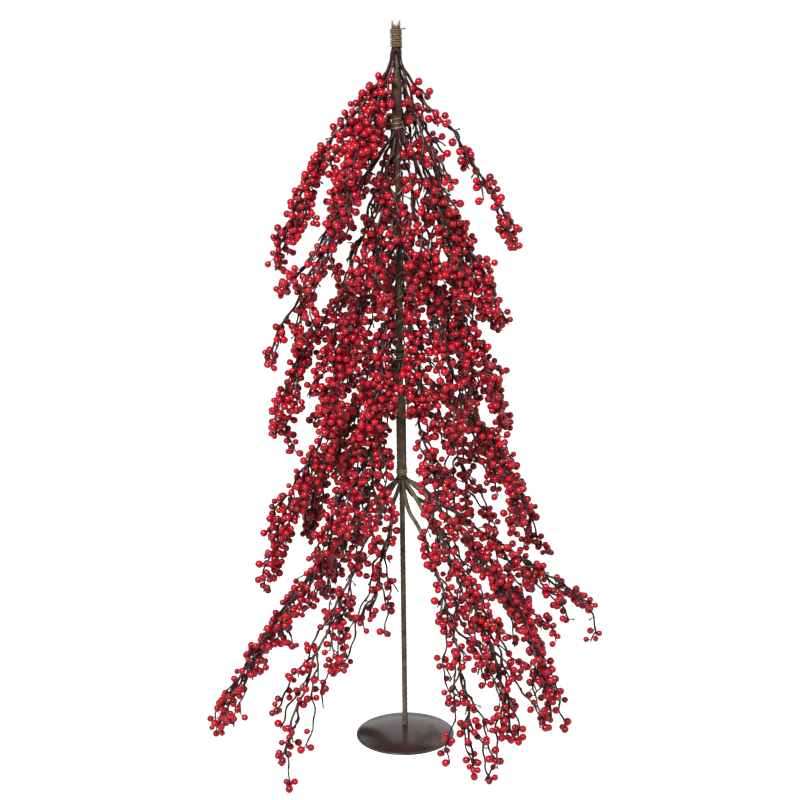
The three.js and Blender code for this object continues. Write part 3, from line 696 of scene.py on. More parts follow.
def dome_height(radius):
    """Height of the plate's upper face: a cap of a sphere that stands on the rim's inner edge."""
    dome_radius = (RIM_INNER ** 2 + DOME_RISE ** 2) / (2 * DOME_RISE)
    return PLATE_SHEET + DOME_RISE - dome_radius + np.sqrt(dome_radius ** 2 - radius ** 2)


def make_base_plate():
    """The stamped plate: a dome drawn down to a flat rim with a rolled edge, and the same dome beneath."""
    edge = PLATE_SHEET / 2
    angle = np.radians(np.linspace(-90, 90, ROLL_STEPS))
    roll = np.stack([PLATE_RADIUS - edge + edge * np.cos(angle), edge + edge * np.sin(angle)], axis=1)
    radius = np.linspace(RIM_INNER, SPIGOT_HOLE, DOME_STEPS)
    upper = np.stack([radius, dome_height(radius)], axis=1)
    lower = upper[::-1] - (0, PLATE_SHEET)
    places, faces = revolved(np.concatenate([roll, upper, lower]), PLATE_SIDES)
    new_piece("base_plate_shell", places, faces, "base_paint", "base_plate")


# Tapes round the pole
def lapped_tape(name, node, kind, height, radius, inner, brown):
    """Tape wound round the pole's axis: each turn stands on the last one's edge.

    Radius = given radius + depth (ridge - sink). The ridge is turns - whole turns, drawn up to 1 and let
    down again over the last of each turn, with turns = height / lap + angle / full turn. brown tells the
    material how brown the tape is at each height.
    """
    angle = np.arange(kind.sides) * (FULL_TURN / kind.sides)
    turns = height[:, None] / kind.lap + angle[None] / FULL_TURN
    rise = 1 - LAP_FALL_SHARE
    ridge = turns % 1
    ridge = np.where(ridge > rise, (1 - ridge) / LAP_FALL_SHARE, ridge / rise)
    outer = radius[:, None] + kind.depth * (ridge - LAP_SINK_SHARE)
    rim = around(angle)[None] * outer[:, :, None]
    rim[:, :, 2] = height[:, None]
    bore = around(angle)[None] * inner[::-1][:, None, None]
    bore[:, :, 2] = height[::-1][:, None]
    places = np.concatenate([rim.reshape(-1, 3), bore.reshape(-1, 3)])
    faces = [closed_grid_faces(2 * len(height), kind.sides)]
    piece = new_piece(name, places, faces, "florist_tape", node)
    set_attribute(piece, "brown", np.repeat(np.concatenate([brown, brown[::-1]]), kind.sides))


def make_pole_tape():
    """The pole's tape, a little wider over the shoulder at its foot, and brown along its upper part."""
    height = np.arange(POLE_FOOT, POLE_TAPE_TOP, POLE_TAPE.step)
    flare = FOOT_FLARE * (1 - smooth_step((height - POLE_FOOT - FOOT_LENGTH) / FOOT_TAPER))
    brown = smooth_step((height - BROWN_FROM) / BROWN_FADE) * smooth_step((BROWN_TO - height) / BROWN_FADE)
    lapped_tape(
        "pole_tape_wrap", "pole_tape", POLE_TAPE, height, TAPE_RADIUS + flare, TAPE_INNER + flare, brown,
    )


def ring_radius(tier):
    """Stems lie against the pole's tape, or side by side round it, whichever is wider."""
    against_tape = TAPE_RADIUS + SEAT_GAP + TIE_STEM_RADIUS
    side_by_side = (TIE_STEM_RADIUS + STEM_CLEARANCE / 2) / math.sin(math.pi / len(tier.sprays))
    return max(against_tape, side_by_side)


def wrap_inner(tier):
    """The inner radius of the tape or wire round a tier's tied stems."""
    return ring_radius(tier) + TIE_STEM_RADIUS + SEAT_GAP


def make_tie_tape(tier, kind, brown):
    """The wide tape over a tier's tied stems, drawn in onto the pole above their cut ends."""
    stems = wrap_inner(tier)
    shoulder = tier.tie + tier.tied + tier.cut + SEAT_GAP
    height = np.arange(tier.tie, shoulder + WRAP_NECK, kind.step)
    draw_in = smooth_step((height - shoulder) / WRAP_NECK)
    narrow = TAPE_RADIUS + SEAT_GAP
    inner = stems + (narrow - stems) * draw_in
    lapped_tape(
        f"{tier.name}_tie_wrap", f"{tier.name}_tie_tape", kind, height, inner + WRAP_WALL, inner,
        np.full(len(height), brown),
    )


# Windings
def wound(name, node, kind, dice, radius, bottom, top):
    """A winding of one or more twisted strands round the pole's axis.

    The middle line is a helix: (r cos a, r sin a, z), with z rising evenly, a slow waver and a slant;
    its ends leave the helix straight. Each strand circles that line at a share of the wire's radius.
    """
    loops, turn, stray = WINDINGS[name]
    share = np.linspace(0, 1, int(loops * LOOP_STEPS))
    angle = turn + FULL_TURN * loops * share
    waver = np.sin(angle * WAVER_RATE + dice.random() * WAVER_PHASE) * kind.radius * WAVER_SHARE
    waver = waver + kind.slant * np.cos(angle - SLANT_ANGLE)
    path = around(angle) * radius
    path[:, 2] = bottom + (top - bottom) * share + waver * np.sin(math.pi * share)
    lead = np.linspace(1, 0, LEAD_ROWS)[:-1, None] * stray
    start_way = unit(around(angle[0]) - around(angle[0] + math.pi / 2) * LEAD_TURN_SHARE)
    end_way = unit(around(angle[-1]) + around(angle[-1] + math.pi / 2) * LEAD_TURN_SHARE)
    path = np.concatenate([path[0] + lead * start_way, path, path[-1] + lead[::-1] * end_way])
    path = smoothed(path[None], 2)
    parts = []
    if kind.strands == 1:
        parts.append(tubes(path, kind.radius, WIRE_SIDES, across_of_winding))
    else:
        first, second = across_of_winding(path)
        lay = length_so_far(path[0]) / (kind.radius * STRAND_LAY_SHARE) * FULL_TURN
        for strand in range(kind.strands):
            phase = lay + strand * FULL_TURN / kind.strands
            offset = first[0] * np.cos(phase)[:, None] + second[0] * np.sin(phase)[:, None]
            line = path + offset[None] * kind.radius * STRAND_OFFSET_SHARE
            parts.append(tubes(line, kind.radius * STRAND_RADIUS_SHARE, STRAND_SIDES, across_of_winding))
    new_piece(f"{name}_winding", *joined(parts), kind.slot, node)


def make_windings():
    """The crown's twine, the wires round the other four ties, and the two wires down the pole."""
    dice = np.random.default_rng(WINDING_SEED)
    crown, second, third, fourth, lowest = TIERS
    wound(
        "crown_twine", "crown_twine", TWINE, dice, wrap_inner(crown) + TWINE.radius,
        crown.tie + TWINE.radius, crown.tie + crown.tied - TWINE.radius / 2,
    )
    for tier, wrap, node, (foot, head) in (
        (second, SECOND_WRAP, "second_tie_wire", SECOND_WIRE_SPAN),
        (lowest, LOWEST_WRAP, None, LOWEST_WIRE_SPAN),
    ):
        radius = wrap_inner(tier) + WRAP_WALL + wrap.depth + WIRE.radius
        wound(f"{tier.name}_tie", node, WIRE, dice, radius, tier.tie + foot, tier.tie + head)
    for tier in (third, fourth):
        wound(
            f"{tier.name}_tie", f"{tier.name}_tie_wire", WIRE, dice, wrap_inner(tier) + WIRE.radius,
            tier.tie + WIRE.radius, tier.tie + tier.tied - WIRE.radius,
        )
    on_pole = TAPE_RADIUS + SEAT_GAP + WIRE.radius
    wound(
        "pole_spiral", "pole_spiral_wire", WIRE, dice, on_pole,
        fourth.tie + fourth.tied + fourth.cut + SPIRAL_GAP, third.tie - SPIRAL_GAP,
    )
    wound(
        "upper_spiral", None, WIRE, dice, on_pole,
        third.tie + third.tied + third.cut + SPIRAL_GAP, second.tie - UPPER_SPIRAL_GAP,
    )


# Sprays: their places in the ties, and their stems and twigs
def sprays_of(tier, tier_index):
    """A tier's sprays. They stand evenly round the tie, in the order of their headings."""
    slot_step = FULL_TURN / len(tier.sprays)
    headings = [math.radians(row[0]) for row in tier.sprays]
    first_slot = np.mean([heading - index * slot_step for index, heading in enumerate(headings)])
    made = []
    for index, (azimuth, reach_share, drop_share, arch, fullness) in enumerate(tier.sprays):
        serial = index + tier_index * len(tier.sprays)
        reach = tier.reach * reach_share
        drop = tier.drop * drop_share
        length = math.hypot(reach, drop)
        made.append(SimpleNamespace(
            tier=tier, name=f"{tier.name}_berry_spray_{index + 1}", heading=math.radians(azimuth),
            slot=first_slot + index * slot_step, serial=serial, lean=math.sin(GOLDEN_ANGLE * serial),
            reach=reach, drop=drop, arch=arch, length=length, fullness=fullness,
            twig_count=min(round(length / TWIG_EVERY), MOST_TWIGS),
            bare_share=min(tier.bare / length, MOST_BARE_SHARE),
            dice=np.random.default_rng(serial + SEED_STEP * tier_index),
        ))
    return made


def stem_line(spray, share):
    """Where a stem's centre line lies, from share 0 at the tie to 1 at the tip.

    Its radius is ring + (reach - ring) (1 - (1 - share)^arch), held back over its hug of the pole by
    1 - (1 - length so far / hug)^1.5. Its height falls evenly with the share, its heading turns from its
    slot in the tie to its own, and a half sine sways it to one side.
    """
    share = np.asarray(share, float)
    ring = ring_radius(spray.tier)
    angle = spray.slot + (spray.heading - spray.slot) * smooth_step(share / SETTLE_SHARE)
    freed = 1 - np.clip(1 - share * spray.length / spray.tier.hug, 0, 1) ** FREED_POWER
    spread = (1 - (1 - share) ** spray.arch) * freed
    radius = ring + (spray.reach - ring) * spread
    sway = spray.reach * SWAY_SHARE * spray.lean * np.sin(math.pi * share)
    place = around(angle) * radius[..., None] + around(angle + math.pi / 2) * sway[..., None]
    place[..., 2] = spray.tier.tie - spray.drop * share
    return place


def wiggled(path, dice, start_share, size):
    """A path with a slow and a quick sine to each side, which fade in from its start."""
    share = np.linspace(0, 1, len(path))
    fade = smooth_step((share - start_share) / WIGGLE_FADE_SHARE)
    first, second = across_of(path[None])
    length = np.linalg.norm(np.diff(path, axis=0), axis=1).sum()
    waves = []
    for _ in range(2):
        slow = np.sin(FULL_TURN * (length / SLOW_WAVE * share + dice.random()))
        quick = np.sin(FULL_TURN * (length / QUICK_WAVE * share + dice.random()))
        waves.append(size * fade * (slow + QUICK_SHARE * quick))
    return path + first[0] * waves[0][:, None] + second[0] * waves[1][:, None]


def stem_path(spray):
    """A stem's whole wire: its cut end, straight down through the tie, and then its hanging line."""
    tier = spray.tier
    trim_share = LEAST_TRIM_SHARE + (1 - LEAST_TRIM_SHARE) * abs(math.cos(spray.slot))
    top = tier.tie + tier.tied + tier.cut * trim_share
    line = stem_line(spray, np.linspace(0, 1, STEM_ROWS))
    line = wiggled(line, spray.dice, SPLAY_LENGTH / spray.length, STEM_WIGGLE)
    tail = np.repeat(line[:1], TIED_ROWS, axis=0)
    tail[:, 2] = np.linspace(top, tier.tie, TIED_ROWS + 1)[:-1]
    return smoothed(np.concatenate([tail, line])[None], 1)


def spread_off(along, sideways, spread):
    """Directions turned away from a wire's own way by an angle: along cos a + sideways sin a."""
    return along * np.cos(spread) + sideways * np.sin(spread)


def bent_twigs(starts, leave, droop_share, length, knee_share=KNEE_SHARE):
    """Starts, knees and tips of twigs that leave one way and hang nearer to straight down past the knee."""
    hang = unit(leave + (DOWN - leave) * droop_share)
    knees = starts + leave * length * knee_share
    return starts, knees, knees + hang * length * (1 - knee_share)


def main_twig(spray, index):
    """Start, knee and tip of a twig that the frame holds: it leaves sideways and droops."""
    share = TWIG_FIRST_SHARE + (TWIG_LAST_SHARE - TWIG_FIRST_SHARE) * index / spray.twig_count
    start = stem_line(spray, share)
    along = unit(stem_line(spray, share + ALONG_SHARE) - start)
    side = 1 if (index + spray.serial) % 2 else -1
    lift = SIDE_LEAN * (2 * scatter(spray.serial + 3 * index) - 1)
    sideways = turned(around(spray.heading + side * math.pi / 2), along, lift)
    leave = spread_off(along, sideways, TWIG_SPREAD)
    length = spray.tier.twig * (SHORT_SHARE + (1 - SHORT_SHARE) * scatter(spray.serial + 2 * index))
    start, knee, tip = bent_twigs(start, leave, DROOP_SHARE, length)
    tip[:2] *= min(1, spray.tier.reach / math.hypot(tip[0], tip[1]))
    return start, knee, tip


class Wood:
    """Points along all the wires so far, each with its wire's radius and the number of its owner."""

    def __init__(self):
        self.places = np.zeros((0, 3))
        self.radii = np.zeros(0)
        self.owners = np.zeros(0, int)

    def add(self, paths, radius, owner):
        """More wires of one radius and one owner."""
        places = paths.reshape(-1, 3)
        self.places = np.concatenate([self.places, places])
        self.radii = np.concatenate([self.radii, np.full(len(places), radius)])
        self.owners = np.concatenate([self.owners, np.full(len(places), owner)])

    def gaps(self, places, owner=None):
        """The least air from each place to the surface of the wood, leaving out one owner's."""
        low, high = places.min(axis=0) - NEAR_WOOD, places.max(axis=0) + NEAR_WOOD
        near = np.all((self.places > low) & (self.places < high), axis=1)
        if owner is not None:
            near &= self.owners != owner
        if not near.any():
            return np.full(len(places), NEAR_WOOD)
        apart = np.linalg.norm(places[:, None] - self.places[near][None], axis=2)
        return (apart - self.radii[near]).min(axis=1)


def free_rows(paths, wood, owner):
    """How many rows of each path, the first few in any case, lie clear of other wood and of the floor."""
    gaps = wood.gaps(paths.reshape(-1, 3), owner).reshape(paths.shape[:2])
    free = (gaps > WOOD_GAP) & (paths[:, :, 2] > FLOOR_GAP)
    free[:, :FREE_ROWS] = True
    return np.where(free.all(axis=1), paths.shape[1], np.argmin(free, axis=1))


def held_back(paths, wood, owner):
    """Paths cut short where there is no room for them, or left out where less than a third is free."""
    rows = paths.shape[1]
    kept = []
    for path, last in zip(paths, free_rows(paths, wood, owner) - 1):
        if last < rows // 3:
            continue
        kept.append(read_off(path, np.arange(rows), np.linspace(0, last, rows)))
    return np.array(kept).reshape(-1, rows, 3)


def strands(spray, wood):
    """Long twigs that leave the stem to both sides at a small angle and hang down beside it.

    Each has a few tries, with other angles and lengths, and the one with the longest free run stays.
    """
    dice = spray.dice
    bushy = STRAND_LEAST_SHARE + STRAND_FULL_SHARE * spray.fullness
    count = max(1, round(spray.length * bushy / STRAND_EVERY))
    places = (np.arange(count) + dice.random(count)) / count
    shares = spray.bare_share + (STRAND_LAST_SHARE - spray.bare_share) * places
    share = np.repeat(shares, STRAND_TRIES)
    tries = len(share)
    starts = stem_line(spray, share)
    along = unit(stem_line(spray, share + ALONG_SHARE) - starts)
    side = np.repeat(np.where(np.arange(count) % 2, 1, -1), STRAND_TRIES)
    sideways = sideways_at(along, side * math.pi / 2 + dice.uniform(-STRAND_TURN, STRAND_TURN, tries))
    limp = spray.tier.limp_share
    most_spread = STRAND_MOST_SPREAD + STRAND_LIMP_SPREAD * limp
    spread = dice.uniform(STRAND_LEAST_SPREAD, most_spread, tries)[:, None]
    leave = spread_off(along, sideways, spread)
    droop_share = dice.uniform(0.0, limp, tries)[:, None]
    length_share = STRAND_FIRST_LENGTH_SHARE - STRAND_LOST_LENGTH_SHARE * share[:, None]
    length = dice.uniform(*STRAND_LENGTHS, tries)[:, None] * length_share
    starts, knees, tips = bent_twigs(starts, leave, droop_share, length)
    drawn_in = np.minimum(1, spray.tier.reach / np.hypot(tips[:, 0], tips[:, 1]))
    tips[:, :2] *= drawn_in[:, None]
    paths = bezier(starts, knees, tips, TWIG_ROWS)
    rises = np.maximum(0, leave[:, 2] - along[:, 2])
    score = free_rows(paths, wood, spray.owner) - RISE_FAULT * rises
    best = np.arange(count) * STRAND_TRIES + score.reshape(count, STRAND_TRIES).argmax(axis=1)
    return paths[best]


def shoots(paths, kind, every, dice):
    """Starts, knees and tips of side twigs or spurs, which leave their wires at golden-angle steps."""
    spots = spots_along(paths, every, dice)
    count = len(spots.place)
    turn = np.arange(count) * GOLDEN_ANGLE + dice.uniform(-kind.turn, kind.turn, count)
    sideways = sideways_at(spots.way, turn)
    spread = dice.uniform(*kind.spread, count)[:, None]
    leave = spread_off(spots.way, sideways, spread)
    droop_share = dice.uniform(*kind.droop_shares, count)[:, None]
    length = dice.uniform(*kind.length, count)[:, None]
    return bent_twigs(spots.place, leave, droop_share, length, kind.knee_share)


def shoots_of(spray, kind, twig_every, radius, wood):
    """The side twigs or spurs of a spray's stem and twigs that have room, added to the wood."""
    on_stem = shoots(spray.laden, kind, kind.every, spray.dice)
    on_twigs = shoots(spray.twigs, kind, twig_every, spray.dice)
    paths = bezier(*(np.concatenate(pair) for pair in zip(on_stem, on_twigs)), kind.rows)
    kept = held_back(paths, wood, spray.owner)
    wood.add(kept, radius, spray.owner)
    return kept


def grow_twigs(spray, wood):
    """A spray's main twigs, its long twigs, its side twigs and its bare spurs."""
    twigs = [main_twig(spray, index) for index in range(spray.twig_count)]
    starts, knees, tips = (np.array(part) for part in zip(*twigs))
    mains = held_back(bezier(starts, knees, tips, TWIG_ROWS), wood, spray.owner)
    hanging = held_back(strands(spray, wood), wood, spray.owner)
    spray.twigs = np.array([
        wiggled(twig, spray.dice, TWIG_STILL_SHARE, TWIG_WIGGLE) for twig in np.concatenate([mains, hanging])
    ])
    wood.add(spray.twigs, TWIG_TIP_RADIUS, spray.owner)
    spray.laden = spray.stem[:, TIED_ROWS + int(STEM_ROWS * spray.bare_share):]
    sparser = SIDE_TWIGS.every * SPARSER_SHARE
    spray.sides = shoots_of(spray, SIDE_TWIGS, sparser, TWIG_TIP_RADIUS, wood)
    spray.spurs = shoots_of(spray, SPURS, SPURS.every, SPUR_RADIUS, wood)


def knobbed(rows, length, foot, tip, dice):
    """Radii from foot to tip, thicker by a share in a short swelling at each knob."""
    share = np.linspace(0, 1, rows)
    wave = np.sin(math.pi * (share * length / KNOB_EVERY + dice.random())) ** 2
    return (foot + (tip - foot) * share) * (1 + KNOB_SHARE * wave ** KNOB_POWER)


def wood_mesh(spray, berries):
    """All of a spray's wood: stem, twigs, spurs with a knob at their end, and the berries' stalks."""
    dice = spray.dice
    stem_radii = knobbed(spray.stem.shape[1], spray.length, STEM_FOOT_RADIUS, STEM_TIP_RADIUS, dice)
    stem_radii[:TIED_ROWS + 1] = TIE_STEM_RADIUS
    stem_radii[-1] *= END_SHARE
    twig_radii = np.array([
        knobbed(TWIG_ROWS, KNOBBED_LENGTH, TWIG_FOOT_RADIUS, TWIG_TIP_RADIUS, dice) for _ in spray.twigs
    ])
    twig_radii[:, -1] = TWIG_TIP_RADIUS * END_SHARE
    side_foot, side_tip = TWIG_FOOT_RADIUS * SIDE_FOOT_SHARE, TWIG_TIP_RADIUS * SIDE_TIP_SHARE
    side_radii = np.linspace(side_foot, side_tip, SIDE_TWIGS.rows)
    spur_radii = np.full(SPURS.rows, SPUR_RADIUS)
    spur_radii[0] = SPUR_RADIUS * SPUR_FOOT_SHARE
    spur_radii[-3:] = (SPUR_RADIUS * SPUR_NECK_SHARE, SPUR_KNOB_RADIUS, SPUR_KNOB_RADIUS * SPUR_END_SHARE)
    stalk_ends = berries.centre - berries.way * berries.size[:, None] * STALK_END_SHARE
    near_knee = np.linalg.norm(berries.knee - berries.foot, axis=1, keepdims=True) < STRAIGHT_STALK
    knees = np.where(near_knee, (berries.foot + stalk_ends) / 2, berries.knee)
    stalks = np.stack([berries.foot, knees, stalk_ends], axis=1)
    return joined([
        tubes(spray.stem, stem_radii[None], STEM_SIDES),
        tubes(spray.twigs, twig_radii, TWIG_SIDES),
        tubes(spray.sides, side_radii[None], SHOOT_SIDES),
        tubes(spray.spurs, spur_radii[None], SHOOT_SIDES),
        tubes(stalks, STALK_RADIUS, STALK_SIDES),
    ])


def make_stem_tape(spray):
    """The tape on a lowest stem, from its tie on: it swells at once, thins evenly and closes at its end.

    Radius = foot + (full - foot) swell + lap depth (turns - whole turns), with turns = length / lap.
    """
    hanging = spray.stem[0, TIED_ROWS:]
    marks = np.linspace(STEM_TAPE_START, STEM_TAPE_END, STEM_TAPE_ROWS)
    line = read_off(hanging, length_so_far(hanging), marks)
    share = np.linspace(0, 1, STEM_TAPE_ROWS)
    swell = smooth_step(share / SWELL_SHARE) * (1 - THINNING_SHARE * share)
    lap = (marks / STEM_TAPE_LAP) % 1
    swollen = STEM_TAPE_FOOT_RADIUS + (STEM_TAPE_RADIUS - STEM_TAPE_FOOT_RADIUS) * swell
    radii = swollen + STEM_TAPE_LAP_DEPTH * lap
    radii[-CLOSING_ROWS:] *= np.linspace(1, CLOSING_SHARE, CLOSING_ROWS)
    places, faces = tubes(line[None], radii[None], STEM_TAPE_SIDES)
    new_piece(f"{spray.name}_stem_tape", places, faces, "florist_tape")


# Berries
def berry_form():
    """A unit berry: a sphere of rows and sides, a little long, with a dimple at its far end.

    Radius = 1 - dimple e^(-(polar angle / dimple angle)^2). Returns its places, faces and nearness to
    the tip.
    """
    polar = np.linspace(0, math.pi, BERRY_ROWS + 1)[1:-1]
    angle = np.arange(BERRY_SIDES) * (FULL_TURN / BERRY_SIDES)
    size = 1 - DIMPLE_SHARE * np.exp(-((polar / DIMPLE_ANGLE) ** 2))
    ring = around(angle)[None] * (size * np.sin(polar))[:, None, None]
    ring[:, :, 2] = (size * np.cos(polar))[:, None] * BERRY_STRETCH
    tip = np.array([[0, 0, (1 - DIMPLE_SHARE) * BERRY_STRETCH]])
    foot = np.array([[0, 0, -BERRY_STRETCH]])
    places = np.concatenate([ring.reshape(-1, 3), tip, foot])
    side = np.arange(BERRY_SIDES)
    after = (side + 1) % BERRY_SIDES
    tip_corner = np.full(BERRY_SIDES, len(places) - 2)
    foot_corner = tip_corner + 1
    last = (BERRY_ROWS - 2) * BERRY_SIDES
    walls = grid_faces(BERRY_ROWS - 1, BERRY_SIDES)[:, ::-1]
    caps = np.concatenate([
        np.stack([side, after, tip_corner], axis=1),
        np.stack([last + after, last + side, foot_corner], axis=1),
    ])
    nearness = np.concatenate([np.repeat(np.cos(polar), BERRY_SIDES), [1, -1]])
    return places, walls, caps, nearness


def berries_mesh(places, ways, sizes):
    """One berry form at each place, its far end pointing along its way: place + size (x u + y v + z w)."""
    form, walls, caps, nearness = berry_form()
    first = sideways_at(ways, np.zeros(len(ways)))
    second = np.cross(ways, first)
    frames = np.stack([first, second, ways], axis=1)
    points = places[:, None] + sizes[:, None, None] * np.einsum("fk,ckx->cfx", form, frames)
    first_corner = (np.arange(len(places)) * len(form))[:, None, None]
    faces = [(face[None] + first_corner).reshape(-1, face.shape[1]) for face in (walls, caps)]
    return points.reshape(-1, 3), faces, np.tile(nearness, len(places))


def clumped(spots, spray):
    """Which spots bear berries: a sine along the wires leaves bare gaps on the less full sprays."""
    dice = spray.dice
    clump = np.sin(FULL_TURN * (spots.mark / CLUMP_LENGTH + dice.random()))
    hung_share = np.clip((spray.tier.tie - spots.place[:, 2]) / spray.drop, 0, 1)
    level = FULL_LEVEL * spray.fullness * (1 - spray.tier.thin_share * hung_share) - BARE_LEVEL
    frayed = dice.uniform(-CLUMP_FRAY, CLUMP_FRAY, len(spots.mark))
    return (clump + level > frayed) | (spots.share > WIRE_END_SHARE)


def bearing_spots(paths, every, turn, spray, bare_share=0.0):
    """Where a wire bears berries past its bare share: place, way, and a side at golden-angle steps."""
    spots = spots_along(paths, every, spray.dice)
    kept = clumped(spots, spray) & (spots.share > bare_share)
    place, way = spots.place[kept], spots.way[kept]
    count = len(place)
    angle = np.arange(count) * GOLDEN_ANGLE + spray.dice.uniform(-turn, turn, count)
    return place, way, sideways_at(way, angle), count


def seated_berries(paths, wire_radius, spray, bare_share=0.0):
    """Berries close against a wire. Those that face away from the tree are thinned out."""
    dice = spray.dice
    place, way, outward, count = bearing_spots(paths, BERRY_EVERY, SEATED_TURN, spray, bare_share)
    outward = unit(outward + way * dice.uniform(*SEATED_LEAN_SHARES, count)[:, None])
    size = dice.uniform(*BERRY_SIZES, count)
    stalk = dice.uniform(*STALK_LENGTHS, count)
    centre = place + outward * (wire_radius + stalk + size)[:, None]
    faces_out = outward @ around(spray.heading) > OUTER_FACE
    shows = ~faces_out | (dice.random(count) < OUTER_FACE_SHARE)
    return SimpleNamespace(
        foot=place[shows], knee=((place + centre) / 2)[shows], centre=centre[shows], way=outward[shows],
        size=size[shows],
    )


def stalked_berries(paths, spray):
    """Berries on stalks that leave a wire sideways and bend on towards its end and down."""
    dice = spray.dice
    place, way, outward, count = bearing_spots(paths, OUTER_BERRY_EVERY, OUTER_TURN, spray)
    length = dice.uniform(*OUTER_STALK_LENGTHS, count)[:, None]
    leave = unit(outward + way * dice.uniform(0, OUTER_LEAN_SHARE, count)[:, None])
    droop = dice.uniform(0, OUTER_DROOP_SHARE, count)[:, None]
    bent_on = unit(leave + way * OUTER_ONWARD_SHARE + DOWN * droop)
    size = dice.uniform(*BERRY_SIZES, count)
    knee = place + leave * length * OUTER_KNEE_SHARE
    centre = knee + bent_on * (length * (1 - OUTER_KNEE_SHARE) + size[:, None])
    return SimpleNamespace(foot=place, knee=knee, centre=centre, way=bent_on, size=size)


def tip_berries(paths, dice, keep_share):
    """A berry at the end of most shoots."""
    kept = dice.random(len(paths)) < keep_share
    ends = paths[kept][:, -1]
    way = unit(ends - paths[kept][:, -2])
    size = dice.uniform(*BERRY_SIZES, len(ends))
    centre = ends + way * size[:, None] * TIP_SEAT_SHARE
    return SimpleNamespace(foot=ends, knee=(ends + centre) / 2, centre=centre, way=way, size=size)


class Basket:
    """The berries placed so far, with their sizes."""

    def __init__(self):
        self.places = np.zeros((0, 3))
        self.sizes = np.zeros(0)

    def pick(self, wanted, wood):
        """The candidates that fit: clear of the wood, the floor, each other and the berries before them."""
        clear = wood.gaps(wanted.centre) > wanted.size - BERRY_SQUEEZE
        clear &= wanted.centre[:, 2] > wanted.size + FLOOR_GAP / 2
        reach = 2 * max(BERRY_SIZES)
        low, high = wanted.centre.min(axis=0) - reach, wanted.centre.max(axis=0) + reach
        near = np.all((self.places > low) & (self.places < high), axis=1)
        places = np.concatenate([self.places[near], np.zeros_like(wanted.centre)])
        sizes = np.concatenate([self.sizes[near], np.zeros_like(wanted.size)])
        filled = np.count_nonzero(near)
        kept = []
        for number in np.flatnonzero(clear):
            centre, size = wanted.centre[number], wanted.size[number]
            apart = np.linalg.norm(places[:filled] - centre, axis=1) - sizes[:filled] - size
            if apart.min(initial=0) < -BERRY_SQUEEZE:
                continue
            places[filled], sizes[filled] = centre, size
            filled += 1
            kept.append(number)
        self.places = np.concatenate([self.places, wanted.centre[kept]])
        self.sizes = np.concatenate([self.sizes, wanted.size[kept]])
        return kept


# Sprays as pieces
def dress(spray, wood, basket):
    """A spray's two pieces, its wood and its berries, and the tape on its stem in the lowest tier."""
    dice = spray.dice
    full = min(1, LEAST_KEPT_SHARE + spray.fullness)
    ends = np.concatenate([path[:, -END_ROWS:] for path in (spray.sides, spray.twigs, spray.stem)])
    groups = [
        tip_berries(ends, dice, TIP_KEPT_SHARE * full),
        seated_berries(spray.laden, STEM_TIP_RADIUS, spray),
        seated_berries(spray.twigs, TWIG_TIP_RADIUS, spray, TWIG_BARE_SHARE),
        seated_berries(spray.sides, TWIG_TIP_RADIUS, spray),
        tip_berries(spray.spurs[:, -END_ROWS:], dice, SPUR_KEPT_SHARE * full),
        stalked_berries(spray.laden, spray),
    ]
    wanted = SimpleNamespace(**{
        key: np.concatenate([getattr(group, key) for group in groups]) for key in BERRY_PARTS
    })
    kept = basket.pick(wanted, wood)
    berries = SimpleNamespace(**{key: getattr(wanted, key)[kept] for key in BERRY_PARTS})
    places, faces = wood_mesh(spray, berries)
    branch = new_piece(f"{spray.name}_wood", places, faces, "twig_bark", spray.name)
    above_tie = places[:, 2] - spray.tier.tie - spray.tier.tied
    set_attribute(branch, "peeled", smooth_step(above_tie / PEEL_LENGTH))
    places, faces, nearness = berries_mesh(berries.centre, berries.way, berries.size)
    fruit = new_piece(f"{spray.name}_berries", places, faces, "red_berries", spray.name)
    tone = dice.random(len(kept)) ** TONE_POWER * MOST_TONE_SHARE
    set_attribute(fruit, "tone", np.repeat(tone, len(places) // len(kept)))
    set_attribute(fruit, "tip", nearness)
    if spray.tier is TIERS[-1]:
        make_stem_tape(spray)


def open_front():
    """Places before the pole that stay free: height = z + (camera height - z) depth / camera distance."""
    depth = np.arange(POLE_CORE, OPEN_DEPTH, OPEN_STEP)
    sheets = []
    for bottom, top in OPEN_FRONT:
        foot, away = np.meshgrid(np.arange(bottom, top, OPEN_STEP), depth, indexing="ij")
        rise = (CAMERA_HEIGHT - foot) * away / CAMERA_DISTANCE
        sheets.append(np.stack([np.zeros_like(foot), -away, foot + rise], axis=-1).reshape(-1, 3))
    return np.concatenate(sheets)


def upright(bottom, top, rows):
    """Points up the pole's axis."""
    places = np.zeros((rows, 3))
    places[:, 2] = np.linspace(bottom, top, rows)
    return places


def make_sprays():
    """All sprays, from the crown down. The stems come first, so that twigs and berries clear them."""
    sprays = [spray for index, tier in enumerate(TIERS) for spray in sprays_of(tier, index)]
    wood = Wood()
    wood.add(upright(POLE_FOOT, POLE_TAPE_TOP, POLE_ROWS), TAPE_RADIUS, -1)
    for tier in TIERS:
        wood.add(upright(tier.tie, tier.tie + tier.tied + tier.cut, TIE_ROWS), POLE_CORE, -1)
    wood.add(open_front(), OPEN_RADIUS, -1)
    for owner, spray in enumerate(sprays):
        spray.owner = owner
        spray.stem = stem_path(spray)
        wood.add(spray.stem, STEM_TIP_RADIUS, owner)
    for spray in sprays:
        grow_twigs(spray, wood)
    basket = Basket()
    for spray in sprays:
        dress(spray, wood, basket)


# Hardware
def finish_hardware():
    """The rod, the washer and the nut stay the frame's own solids, in steel."""
    steel = drawn_steel()
    for name in ("pole_rod", "base_washer", "base_nut"):
        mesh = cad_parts[name].data
        mesh.materials.clear()
        mesh.materials.append(steel)


